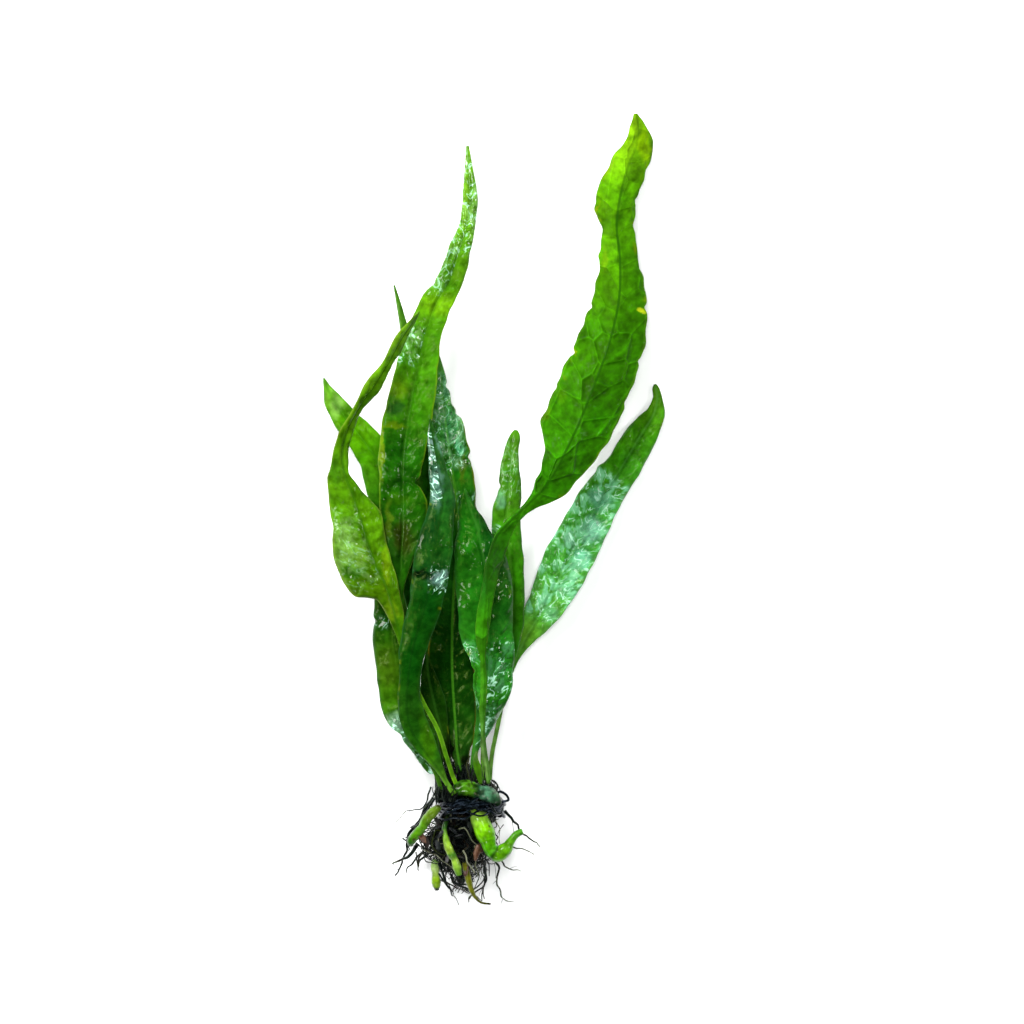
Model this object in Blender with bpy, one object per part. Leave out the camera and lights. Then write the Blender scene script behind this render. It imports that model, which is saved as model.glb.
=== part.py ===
# Java fern lying on its back: a bundle of leaves on a tied, rooted rhizome.
# Metres, +Z up. Leaf tips point along +Y, the roots along -Y, and the plant rests on z = 0.
import math

import bmesh
import bpy
import numpy as np

MM = 0.001
TANGENT_REACH = 0.001

# Thicknesses shared by every frond, in millimetres
BLADE_HALF = 0.24
MARGIN_HALF = 0.1
RIB_AT_BASE = 0.72
RIB_AT_TIP = 0.26
STALK_HALF_WIDTH = 1.1
STALK_SHOULDER = 0.85
FULL_BLADE_HALF_WIDTH = 3.6
STATION_GAP = 5.2
STALK_STATION_GAP = 9.0
RIGHT_WAVE_SHARE = 0.87
RIGHT_WAVE_SHIFT = 1.9

# A frond's section: the share of the way to the margin, and its upper or lower face
FROND_SECTION = [
    (-1, 0),
    (-0.5, 1),
    (0, 1),
    (0.5, 1),
    (1, 0),
    (0.5, -1),
    (0, -1),
    (-0.5, -1),
]

# The band that ties the rhizomes and roots, in millimetres
TIE_CENTRE = (-6.3, -83.1, 12.4)
TIE_HALF_X = 9.2
TIE_HALF_Z = 9.0
TIE_THICKNESS = 1.1
TIE_WIDTH = 4.2
TIE_TURNS = 4
TIE_RIB = 0.35
TIE_SLANT = 0.35
TIE_SLANT_START = 0.6
TIE_SIDES = 24
TIE_LOOP = [
    (0.8, -82.4, 17.2),
    (2.3, -79.9, 18.0),
    (4.3, -79.7, 18.2),
    (3.0, -81.6, 18.0),
    (1.0, -83.4, 17.0),
]
TIE_LOOP_RADIUS = 0.55
TIE_LOOP_SIDES = 6
TIE_LOOP_STEP = 1.2

# The tangle of fine roots: y and x of its middle, half width, half depth and height, in millimetres
ROOT_MAT = [
    (-81.2, -8.4, 3.2, 2.4, 9.6),
    (-85.9, -8.6, 4.0, 3.4, 9.4),
    (-88.0, -9.6, 7.8, 6.2, 7.8),
    (-90.5, -10.6, 9.4, 7.6, 7.4),
    (-93.2, -10.6, 9.2, 7.6, 7.4),
    (-95.6, -9.4, 7.4, 7.0, 7.4),
    (-98.2, -8.8, 5.0, 5.6, 6.8),
    (-101.2, -8.8, 3.0, 3.6, 6.2),
    (-103.4, -8.8, 1.4, 1.6, 5.8),
]
ROOT_MAT_SIDES = 20
ROOT_MAT_STEP = 1.5
ROOT_MAT_LUMP = 0.06
ROOT_MAT_TWIST = 1.3

# Each frond's rows run from its foot to its tip: x, y and z of the midrib, the
# widths left and right of it, all in millimetres, and its roll in degrees.
# Fold raises both halves by degrees; ruffle is the height of the margin's waves, wave their
# length and phase where they start.
FRONDS = {
    "frond_tall_right": {
        "colour": (0.10, 0.30, 0.01),
        "fold": -9,
        "ruffle": 0.7,
        "wave": 21,
        "phase": 0.4,
        "rows": [
            (-1.5, -75.4, 18.8, 0.7, 0.7, 0),
            (-2, -70.5, 19.8, 0.9, 0.9, 0),
            (-2.8, -66, 20.6, 1, 1, 0),
            (-3, -61.5, 21.4, 0.7, 0.7, 0),
            (-2.8, -55, 22.6, 0.7, 0.7, 0),
            (-1.5, -39, 24.2, 0.7, 0.7, 0),
            (-1, -25, 24.6, 0.6, 0.6, 0),
            (-1.5, -14.5, 24.2, 0.6, 0.6, 0),
            (0.5, -7.5, 23.6, 0.7, 0.7, 0),
            (7.5, -0.5, 22.2, 0.8, 2.0, 0),
            (10, 1.8, 21.7, 1.2, 2.6, -3),
            (14, 6, 21, 3.2, 5.4, -5),
            (18.5, 13.5, 20, 5.2, 7.7, -5),
            (22, 20.5, 18.5, 9.8, 9.2, -4),
            (27, 32.5, 15.5, 9.8, 10.1, 0),
            (32, 46.5, 12, 9, 9.8, 3),
            (34.5, 58.5, 9, 7.2, 7.5, 3),
            (34.5, 71, 6.5, 5.2, 5, 0),
            (33.8, 77, 5.5, 4.8, 5, 0),
            (34.6, 85, 4.2, 6.8, 4.9, 2),
            (37, 94.5, 2.8, 5, 5.2, 3),
            (39.5, 101.5, 1.8, 3, 4.4, 0),
            (39.5, 105.5, 1.2, 2.1, 2.6, 0),
            (39, 109, 0.8, 0.6, 0.6, 0),
        ],
    },
    "frond_tall_left": {
        "colour": (0.13, 0.36, 0.01),
        "fold": 8,
        "ruffle": 0.7,
        "wave": 17,
        "phase": 1.1,
        "rows": [
            (-15, -75.4, 18.2, 0.7, 0.7, 0),
            (-17.5, -69.5, 19, 0.7, 0.7, 0),
            (-22, -61.5, 19.3, 0.7, 0.7, 0),
            (-23.5, -50, 19.1, 0.7, 0.7, 0),
            (-24.5, -36, 18.8, 0.7, 0.7, 0),
            (-25.5, -24, 18.6, 0.8, 0.8, 0),
            (-25.5, -14.5, 18, 3.6, 3.3, 0),
            (-25, -6, 17.6, 5.8, 6.1, 0),
            (-25, 1, 17.2, 6.6, 6.9, 0),
            (-25, 7.5, 17, 6.6, 4.7, 0),
            (-25, 13, 16.8, 6.9, 5.8, 0),
            (-24, 21.5, 16.4, 6.9, 6.3, 2),
            (-22.5, 31, 15.6, 6.3, 6.6, 4),
            (-20.5, 40.5, 14.5, 5.8, 5.5, 5),
            (-18.5, 49, 13.4, 5.1, 4.6, 5),
            (-15.5, 57, 12, 4.2, 4.3, 4),
            (-12, 63, 10.8, 3.6, 3.6, 2),
            (-9.5, 71, 9.2, 3.2, 3.2, 0),
            (-7.2, 79.5, 7.6, 2.3, 2.5, 0),
            (-6.6, 85.5, 6.2, 2.3, 2.3, 0),
            (-7, 92.5, 4.4, 1.4, 1.6, 0),
            (-7.3, 100, 2.6, 0.5, 0.5, 0),
        ],
    },
    "frond_slender_back": {
        "colour": (0.06, 0.22, 0.01),
        "fold": 10,
        "ruffle": 0.3,
        "wave": 17,
        "phase": 0.0,
        "rows": [
            (-11.5, -74.8, 10.2, 0.7, 0.7, 0),
            (-14, -58, 9.5, 0.7, 0.7, 0),
            (-16.5, -36, 9, 0.7, 0.7, 0),
            (-18.5, -19.5, 9, 2.2, 2.2, 0),
            (-19.5, -3, 9.2, 3.3, 3, 0),
            (-21, 16, 9.2, 3.6, 3.3, 0),
            (-22.5, 34, 9, 3.3, 3.6, 0),
            (-23.7, 44, 8.6, 1.9, 2.5, 0),
            (-24.9, 50, 8, 1.2, 1.4, 0),
            (-26, 55.5, 7.2, 0.9, 0.8, 0),
            (-27.5, 61.5, 6, 0.3, 0.3, 0),
        ],
    },
    "frond_folded_left": {
        "colour": (0.19, 0.42, 0.01),
        "fold": 0,
        "ruffle": 0.5,
        "wave": 16,
        "phase": 2.2,
        "rows": [
            (-10.8, -74.6, 20.2, 0.7, 0.7, 0),
            (-13, -68, 21, 0.7, 0.7, 0),
            (-15.5, -60.5, 21, 0.7, 0.7, 0),
            (-19.5, -53, 20.8, 0.7, 0.7, 0),
            (-23, -45, 20.7, 0.7, 0.7, 0),
            (-25.5, -36, 20.9, 1.1, 1.4, 0),
            (-27.5, -28, 21, 2.5, 2.8, -4),
            (-29.5, -21.5, 21.1, 5.5, 3.3, -6),
            (-31.5, -17.5, 21, 9.9, 4.1, -8),
            (-34, -11.5, 21.2, 10.2, 5, -8),
            (-36.5, -3, 21.4, 8.2, 5.8, -6),
            (-39, 4.5, 21.6, 6.8, 2.6, -4),
            (-41, 9.5, 21.7, 5, 1.4, -6),
            (-41.6, 12.5, 21.8, 3.4, 1.9, -12),
            (-41, 19.5, 22, 2.5, 2.5, -45),
            (-38, 26.5, 22, 2.8, 2.8, -62),
            (-33, 34, 22, 3.6, 3.6, -62),
            (-29, 40.5, 22, 3.3, 3.3, -62),
            (-25, 47.5, 21.4, 2.5, 2.5, -60),
            (-22.5, 51, 20.8, 1.6, 1.6, -55),
            (-20.5, 54, 20.2, 0.3, 0.3, -40),
        ],
    },
    "frond_outer_left": {
        "colour": (0.17, 0.42, 0.01),
        "fold": 8,
        "ruffle": 0.5,
        "wave": 16,
        "phase": 0.8,
        "rows": [
            (-14, -74.8, 10.3, 0.7, 0.7, 0),
            (-15.5, -61, 9, 0.7, 0.7, 0),
            (-18, -41.5, 7.5, 0.7, 0.7, 0),
            (-20.5, -30.5, 6.8, 2.2, 2.2, 0),
            (-23.5, -18.5, 6.2, 3.6, 3.6, 0),
            (-26.5, -6, 5.6, 5.2, 4.7, 0),
            (-29.5, 5, 5, 5.6, 4.7, 2),
            (-33, 14.5, 4.4, 4.8, 5, 3),
            (-37, 20, 3.8, 4, 4.3, 3),
            (-41, 25, 2.8, 3.6, 3.2, 2),
            (-44.2, 30, 1.9, 3, 2.3, 0),
            (-46, 33.2, 1.2, 1.3, 1.3, 0),
            (-47, 36, 0.7, 0.3, 0.3, 0),
        ],
    },
    "frond_centre_back": {
        "colour": (0.02, 0.15, 0.01),
        "fold": 6,
        "ruffle": 0.6,
        "wave": 16,
        "phase": 0.3,
        "rows": [
            (-9, -74.9, 14.8, 1, 1.4, 0),
            (-9.3, -72.5, 14.6, 1.2, 2.2, 0),
            (-9.6, -70, 14.3, 1.3, 3, 0),
            (-10.2, -66, 13.8, 1.8, 4, 0),
            (-10.5, -61, 13.2, 2.4, 5.6, 0),
            (-11, -54, 12.6, 3.2, 6.3, 0),
            (-11.5, -44.5, 12.4, 4.1, 6.3, 0),
            (-11.5, -33.5, 12.2, 5, 6.6, 0),
            (-11, -21, 12.4, 5, 6.1, 0),
            (-10, -8.5, 12.6, 4.7, 5.5, 0),
            (-10, 1, 12.6, 4.4, 5.1, 0),
            (-11.5, 10.5, 12.4, 3.8, 5.8, 2),
            (-13, 21.5, 11.8, 3.3, 5.3, 4),
            (-14, 29.5, 11, 2.5, 2.4, 4),
            (-14.5, 35.5, 10.4, 1.9, 1.6, 3),
            (-15.5, 41, 9.6, 1, 1, 0),
            (-16, 44, 9, 0.3, 0.3, 0),
        ],
    },
    "frond_short_right": {
        "colour": (0.11, 0.33, 0.01),
        "fold": -6,
        "ruffle": 0.5,
        "wave": 15,
        "phase": 1.7,
        "rows": [
            (-3, -74.8, 14.6, 0.7, 0.7, 0),
            (-3, -66, 14.4, 0.7, 0.7, 0),
            (-2, -59, 14.2, 0.7, 0.7, 0),
            (3.2, -47, 14.2, 0.8, 0.8, 0),
            (4.5, -39.5, 14.2, 1.9, 2.1, 0),
            (5, -30.5, 14.4, 3.3, 3.4, 0),
            (5, -19.5, 14.6, 3.4, 3.4, 0),
            (4, -10, 14.6, 4.3, 3.8, -4),
            (3.5, -2, 14.6, 4.1, 3.7, -6),
            (4, 5, 14.4, 3, 3.8, -4),
            (4.5, 12, 14, 2.8, 2.6, 0),
            (5.2, 17, 13.5, 2.2, 1.9, 0),
            (6, 19.5, 13.1, 1.5, 1.2, 0),
            (6, 21.5, 12.8, 0.4, 0.4, 0),
        ],
    },
    "frond_outer_right": {
        "colour": (0.10, 0.35, 0.08),
        "fold": 6,
        "ruffle": 0.8,
        "wave": 17,
        "phase": 2.6,
        "rows": [
            (-1.2, -74.8, 10.6, 0.7, 0.7, 0),
            (-0.6, -68, 10.2, 0.7, 0.7, 0),
            (1.1, -59.5, 9.4, 0.7, 0.7, 0),
            (3, -50.5, 8.4, 0.7, 0.7, 0),
            (5.6, -42.5, 7.6, 1, 0.9, 0),
            (9.3, -34.8, 6.8, 3.4, 2.9, 4),
            (13.6, -27.8, 5.8, 5, 5.2, 5),
            (20.7, -13.6, 4.4, 6.6, 6.8, 4),
            (28.2, 0.4, 3, 6.2, 6, 3),
            (30.8, 5, 2.7, 5.6, 5.6, 3),
            (34.2, 9.8, 2.3, 4.6, 5.2, 3),
            (40.2, 19.8, 1.6, 4.2, 4.6, 2),
            (44.5, 27.5, 1.1, 2.1, 2.9, 0),
            (45, 31, 0.9, 1.4, 1.4, 0),
            (44.5, 34, 0.7, 0.3, 0.3, 0),
        ],
    },
    "frond_dark_centre": {
        "colour": (0.01, 0.11, 0.02),
        "fold": -10,
        "ruffle": 0.4,
        "wave": 18,
        "phase": 0.9,
        "rows": [
            (-12.9, -75.4, 20.4, 0.8, 0.8, 0),
            (-15, -72, 21.2, 0.9, 0.9, 0),
            (-19, -66.5, 22, 1.6, 1.6, 0),
            (-22.5, -61, 22.6, 1.9, 1.9, 0),
            (-24, -54, 23, 2.2, 2.2, 0),
            (-23.5, -47, 23.4, 2.3, 2.3, 0),
            (-22.5, -39.5, 23.8, 3.6, 3.7, 0),
            (-20.5, -32, 24, 4.4, 4.4, 2),
            (-18.5, -25, 24.2, 4.7, 4.7, 3),
            (-18, -21.5, 24.6, 5, 5, 3),
            (-17.5, -18.5, 24.9, 5.1, 5.1, 2),
            (-16.5, -12, 24, 5.1, 5.1, 0),
            (-15, -3.5, 23, 4, 4.1, -3),
            (-14, 2.5, 22.4, 3.6, 3.6, -3),
            (-15, 8, 22, 3, 2.9, 0),
            (-16, 14.5, 21.4, 2.2, 2.2, 0),
            (-17, 20, 20.8, 1.4, 1.4, 0),
            (-17.5, 24.5, 20.4, 0.3, 0.3, 0),
        ],
    },
    "frond_low_left": {
        "colour": (0.08, 0.20, 0.01),
        "fold": -6,
        "ruffle": 0.6,
        "wave": 16,
        "phase": 1.4,
        "rows": [
            (-14.3, -74.9, 14.8, 0.6, 0.7, 0),
            (-15, -72.5, 15.2, 0.8, 1.2, 0),
            (-17.3, -68.5, 15.8, 2.5, 2.8, 4),
            (-20.3, -63, 16.4, 4.1, 5, 6),
            (-25, -54, 16.8, 6, 5.5, 6),
            (-26.5, -44.5, 16.6, 5.8, 5.5, 6),
            (-28, -36, 16.4, 5.5, 5, 6),
            (-28, -28.5, 16.2, 5.1, 4.4, 5),
            (-28.5, -22.5, 16, 4.5, 3.6, 4),
            (-29, -15.5, 15.8, 2.5, 2.5, 0),
            (-29, -10, 15.6, 0.3, 0.3, 0),
        ],
    },
    "frond_front_right": {
        "colour": (0.05, 0.28, 0.01),
        "fold": -12,
        "ruffle": 0.8,
        "wave": 15,
        "phase": 0.2,
        "rows": [
            (-6.2, -74.9, 15, 0.7, 0.7, 0),
            (-5.5, -67, 16, 0.8, 0.8, 0),
            (-4, -59.5, 17.6, 1, 1.6, 0),
            (-3, -54, 18.8, 1.9, 4.7, -4),
            (-2, -49.5, 19.6, 3.8, 7, -8),
            (-1.5, -42, 20.4, 5.1, 7.4, -10),
            (-1.5, -36, 20.8, 7.4, 7.2, -10),
            (-1.5, -28, 21, 8.5, 7.2, -10),
            (-2, -18.5, 20.8, 8.8, 7.4, -10),
            (-3.5, -11, 20.2, 7.7, 5.5, -8),
            (-4.5, -5.5, 19.6, 5.8, 3, -4),
            (-6.5, 0, 19, 3.6, 1.5, 0),
            (-8, 5.5, 18.6, 0.3, 0.3, 0),
        ],
    },
    "frond_inner_left": {
        "colour": (0.02, 0.10, 0.01),
        "fold": 8,
        "ruffle": 0.4,
        "wave": 14,
        "phase": 0.5,
        "rows": [
            (-11.9, -74.8, 14.6, 0.7, 0.8, 0),
            (-12.7, -70, 14.8, 1.2, 1.1, 0),
            (-14.5, -61, 15, 2.5, 2.3, 0),
            (-16.5, -53, 15, 3.4, 3.3, 0),
            (-18, -46, 14.8, 2.3, 2.3, 0),
            (-18.5, -39.5, 14.6, 0.3, 0.3, 0),
        ],
    },
    "frond_young": {
        "colour": (0.22, 0.50, 0.02),
        "fold": 20,
        "ruffle": 0.0,
        "wave": 14,
        "phase": 0.0,
        "rows": [
            (-3.6, -75.5, 20.4, 0.6, 0.6, 0),
            (-4, -73.5, 21, 0.9, 0.9, 0),
            (-4.5, -71, 21.6, 1.2, 1.2, 0),
            (-5, -68.5, 22, 0.8, 0.8, 0),
            (-4.7, -66.5, 22.3, 0.3, 0.3, 0),
        ],
    },
}

# Rhizomes: x, y, z and radius along each, in millimetres
RHIZOMES = {
    "rhizome_front": [
        (-16.3, -77.9, 18.8, 1.2),
        (-14.6, -77.8, 19.0, 1.9),
        (-11.5, -77.4, 19.3, 1.9),
        (-8.2, -76.9, 19.4, 2.2),
        (-5.4, -77.4, 19.3, 1.8),
        (-3.2, -77.9, 19.3, 2.1),
        (-0.6, -78.4, 19.1, 2.0),
        (1.5, -78.6, 19.0, 1.2),
    ],
    "rhizome_middle": [
        (-16.0, -77.7, 14.7, 1.1),
        (-14.2, -77.6, 14.7, 1.9),
        (-10.0, -77.5, 14.8, 1.8),
        (-6.0, -77.6, 14.7, 2.0),
        (-2.5, -77.7, 14.7, 1.9),
        (0.4, -77.9, 14.7, 1.1),
    ],
    "rhizome_back": [
        (-15.6, -77.6, 10.3, 1.1),
        (-13.6, -77.5, 10.3, 1.9),
        (-9.0, -77.4, 10.3, 1.8),
        (-4.5, -77.6, 10.4, 1.9),
        (-1.0, -77.6, 10.5, 1.9),
        (1.0, -77.8, 10.5, 1.1),
    ],
    "rhizome_right": [
        (-4.6, -81.4, 16.6, 1.5),
        (-4.1, -84.8, 17.2, 2.0),
        (-2.8, -88.2, 17.7, 2.3),
        (-1.7, -91.0, 17.7, 2.0),
        (-0.9, -93.4, 17.6, 1.6),
        (1.0, -94.8, 17.6, 2.0),
        (3.1, -93.6, 17.6, 1.6),
        (4.7, -91.2, 17.6, 0.95),
        (6.2, -89.4, 17.7, 0.8),
        (7.9, -88.6, 17.9, 0.75),
    ],
    "rhizome_left": [
        (-15.0, -81.9, 19.4, 0.9),
        (-16.8, -83.4, 18.4, 1.25),
        (-18.6, -85.6, 17.0, 1.3),
        (-19.6, -87.4, 16.0, 1.1),
        (-21.2, -89.4, 14.6, 1.25),
        (-22.8, -91.6, 13.2, 1.1),
        (-23.0, -92.6, 12.6, 0.7),
    ],
    "rhizome_lower": [
        (-12.0, -81.4, 15.0, 0.6),
        (-12.6, -84.6, 15.0, 0.65),
        (-13.6, -87.8, 16.2, 0.6),
        (-13.0, -91.4, 16.7, 0.9),
        (-11.6, -95.0, 16.6, 1.15),
        (-10.9, -96.2, 16.4, 0.85),
        (-10.2, -98.4, 16.0, 1.15),
        (-9.6, -100.6, 15.4, 0.8),
    ],
    "rhizome_stub_left": [
        (-16.3, -96.6, 10.2, 0.7),
        (-16.2, -98.6, 9.7, 1.1),
        (-16.1, -100.8, 9.0, 1.0),
        (-15.9, -103.2, 8.2, 1.15),
        (-15.7, -105.0, 7.6, 0.6),
    ],
    "rhizome_stub_right": [
        (-8.2, -97.2, 14.9, 0.6),
        (-7.4, -100.4, 14.0, 0.85),
        (-6.6, -103.6, 12.8, 0.75),
        (-5.6, -106.2, 11.4, 0.5),
        (-3.6, -108.4, 9.6, 0.3),
        (-1.0, -108.9, 8.0, 0.2),
    ],
}
RHIZOME_SIDES = 10
RHIZOME_STEP = 1.9
RHIZOME_COLOURS = {
    "rhizome_front": (0.20, 0.46, 0.03),
    "rhizome_middle": (0.08, 0.22, 0.02),
    "rhizome_back": (0.08, 0.22, 0.02),
    "rhizome_right": (0.25, 0.60, 0.01),
    "rhizome_left": (0.20, 0.45, 0.02),
    "rhizome_lower": (0.32, 0.55, 0.03),
    "rhizome_stub_left": (0.42, 0.62, 0.10),
    "rhizome_stub_right": (0.20, 0.24, 0.02),
}

# Wiry roots: the radius where each starts, and x, y and z along it, in millimetres
ROOTS = {
    "root_left_high": {
        "radius": 0.3,
        "points": [
            (-17.3, -76.4, 17.2),
            (-18.2, -79.6, 17.0),
            (-20.0, -82.2, 16.2),
            (-23.0, -82.9, 14.6),
            (-25.6, -84.6, 12.6),
            (-27.5, -86.5, 11.0),
        ],
    },
    "root_left_outer": {
        "radius": 0.7,
        "points": [
            (-16.6, -79.6, 13.0),
            (-19.2, -83.6, 12.4),
            (-21.8, -87.4, 11.0),
            (-23.8, -91.2, 8.8),
            (-24.2, -94.0, 7.0),
            (-25.2, -97.6, 4.6),
            (-27.5, -101.2, 2.0),
        ],
    },
    "root_left_green": {
        "radius": 0.7,
        "points": [
            (-20.9, -92.2, 9.8),
            (-21.8, -93.4, 9.8),
            (-23.4, -95.2, 9.0),
            (-25.6, -97.0, 7.4),
            (-28.2, -98.0, 5.4),
        ],
    },
    "root_left_low": {
        "radius": 0.45,
        "points": [
            (-19.4, -94.6, 5.0),
            (-20.8, -95.6, 4.8),
            (-22.8, -97.8, 3.4),
            (-24.4, -100.8, 1.4),
        ],
    },
    "root_left_inner": {
        "radius": 0.5,
        "points": [
            (-17.2, -94.6, 2.0),
            (-18.8, -95.4, 2.2),
            (-20.4, -97.2, 1.8),
            (-20.8, -99.8, 0.9),
        ],
    },
    "root_bottom_left": {
        "radius": 0.55,
        "points": [
            (-15.2, -97.4, 12.2),
            (-14.2, -100.0, 11.8),
            (-12.9, -103.4, 10.4),
            (-11.5, -106.8, 8.4),
        ],
    },
    "root_bottom_long": {
        "radius": 0.4,
        "points": [
            (-11.8, -101.2, 12.4),
            (-10.9, -103.4, 11.6),
            (-8.4, -104.8, 10.2),
            (-6.6, -105.8, 9.0),
        ],
    },
    "root_right_arc": {
        "radius": 0.5,
        "points": [
            (3.0, -83.0, 19.2),
            (4.1, -84.3, 18.5),
            (5.3, -85.6, 17.3),
            (6.9, -87.6, 15.7),
            (7.8, -89.3, 14.9),
            (9.9, -90.6, 13.6),
            (13.0, -93.2, 11.0),
        ],
    },
    "root_bulb_upper": {
        "radius": 0.25,
        "points": [
            (5.0, -92.9, 16.2),
            (6.6, -93.4, 15.6),
            (9.0, -94.2, 14.0),
            (12.2, -95.6, 11.6),
        ],
    },
    "root_bulb_lower": {
        "radius": 0.3,
        "points": [
            (2.2, -96.9, 16.4),
            (3.2, -98.2, 15.4),
            (4.6, -99.0, 13.8),
            (7.2, -100.0, 11.6),
        ],
    },
    "root_right_long": {
        "radius": 0.4,
        "points": [
            (-0.4, -95.6, 14.6),
            (1.0, -98.4, 13.4),
            (0.9, -102.2, 11.0),
            (1.4, -105.2, 8.0),
            (3.2, -108.0, 4.4),
            (5.2, -108.8, 2.0),
        ],
    },
    "root_right_bottom": {
        "radius": 0.45,
        "points": [
            (-2.6, -96.8, 12.0),
            (-2.4, -100.2, 10.8),
            (-2.9, -103.6, 8.6),
            (-4.6, -105.2, 6.8),
            (-6.8, -107.8, 4.2),
        ],
    },
    "root_top_right": {
        "radius": 0.3,
        "points": [
            (-0.2, -74.9, 17.2),
            (0.6, -75.5, 17.1),
            (1.5, -76.6, 16.6),
            (2.0, -78.2, 15.4),
        ],
    },
}
ROOT_TIP_SHARE = 0.45
ROOT_SIDES = 5
ROOT_STEP = 2.6
ROOT_COLOUR = (0.012, 0.018, 0.02)


def clear_scene():
    for item in list(bpy.data.objects):
        bpy.data.objects.remove(item, do_unlink=True)


def make_material(name, colour, roughness):
    material = bpy.data.materials.new(name)
    material.use_nodes = True
    shader = material.node_tree.nodes["Principled BSDF"]
    shader.inputs["Base Color"].default_value = (*colour, 1.0)
    shader.inputs["Roughness"].default_value = roughness
    shader.inputs["Metallic"].default_value = 0.0
    return material


def add_object(name, mesh_data, material):
    # mesh_data is a filled bmesh in millimetres
    bmesh.ops.recalc_face_normals(mesh_data, faces=mesh_data.faces)
    bmesh.ops.scale(mesh_data, vec=(MM, MM, MM), verts=mesh_data.verts)
    mesh = bpy.data.meshes.new(name)
    mesh_data.to_mesh(mesh)
    mesh_data.free()
    mesh.shade_smooth()
    mesh.materials.append(material)
    item = bpy.data.objects.new(name, mesh)
    bpy.context.scene.collection.objects.link(item)
    return item


def smooth_slopes(knots, values):
    # Slopes of a curve that runs smoothly through uneven knots
    step = np.diff(knots)[:, None]
    rate = np.diff(values, axis=0) / step
    slopes = np.empty_like(values)
    slopes[0] = rate[0]
    slopes[-1] = rate[-1]
    slopes[1:-1] = (rate[1:] * step[:-1] + rate[:-1] * step[1:]) / (step[1:] + step[:-1])
    return slopes


def steady_slopes(knots, values):
    # Slopes that never carry the curve past its own knots
    step = np.diff(knots)[:, None]
    rate = np.diff(values, axis=0) / step
    slopes = np.zeros_like(values)
    slopes[0] = rate[0]
    slopes[-1] = rate[-1]
    before = rate[:-1]
    after = rate[1:]
    same = before * after > 0
    total = np.where(same, before + after, 1.0)
    slopes[1:-1] = np.where(same, 2 * before * after / total, 0.0)
    return slopes


def hermite(knots, values, slopes, places):
    index = np.clip(np.searchsorted(knots, places, side="right") - 1, 0, len(knots) - 2)
    width = (knots[index + 1] - knots[index])[:, None]
    share = (places - knots[index])[:, None] / width
    start = (2 * share**3 - 3 * share**2 + 1) * values[index]
    start_slope = (share**3 - 2 * share**2 + share) * width * slopes[index]
    end = (3 * share**2 - 2 * share**3) * values[index + 1]
    end_slope = (share**3 - share**2) * width * slopes[index + 1]
    return start + start_slope + end + end_slope


def knots_of(points):
    return np.concatenate([[0.0], np.cumsum(np.linalg.norm(np.diff(points, axis=0), axis=1))])


def places_between(knots, gaps):
    # Every knot, and even steps between knots no longer than the gap there
    places = [0.0]
    for start, end, gap in zip(knots[:-1], knots[1:], gaps):
        count = max(1, math.ceil((end - start) / gap))
        places.extend(start + (end - start) * (step + 1) / count for step in range(count))
    return np.array(places)


def unit(vectors):
    return vectors / np.linalg.norm(vectors, axis=1)[:, None]


def path_frames(knots, points, slopes, places):
    # Centre, tangent, right-hand side and upward normal at each place
    centre = hermite(knots, points, slopes, places)
    reach = knots[-1] * TANGENT_REACH
    ahead = hermite(knots, points, slopes, np.minimum(places + reach, knots[-1]))
    behind = hermite(knots, points, slopes, np.maximum(places - reach, 0.0))
    tangent = unit(ahead - behind)
    up = np.array([0.0, 0.0, 1.0])
    normal = unit(up - tangent * tangent[:, 2:3])
    side = np.cross(tangent, normal)
    return centre, tangent, side, normal


def join_rings(rings):
    # A closed body from rings of equal length, with a face over each end. The second
    # half of a ring has its quads split the other way, so that both faces of a leaf match.
    body = bmesh.new()
    rows = [[body.verts.new(point) for point in ring] for ring in rings]
    count = len(rows[0])
    for lower, upper in zip(rows[:-1], rows[1:]):
        for index in range(count):
            after = (index + 1) % count
            if index < count / 2:
                body.faces.new((lower[index], lower[after], upper[after]))
                body.faces.new((lower[index], upper[after], upper[index]))
            else:
                body.faces.new((lower[index], lower[after], upper[index]))
                body.faces.new((lower[after], upper[after], upper[index]))
    body.faces.new(list(reversed(rows[0])))
    body.faces.new(rows[-1])
    return body


def rest_on_floor(points, least):
    # A leaf or root that meets the surface lies on it
    points[:, 2] = np.maximum(points[:, 2], least)
    return points


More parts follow.
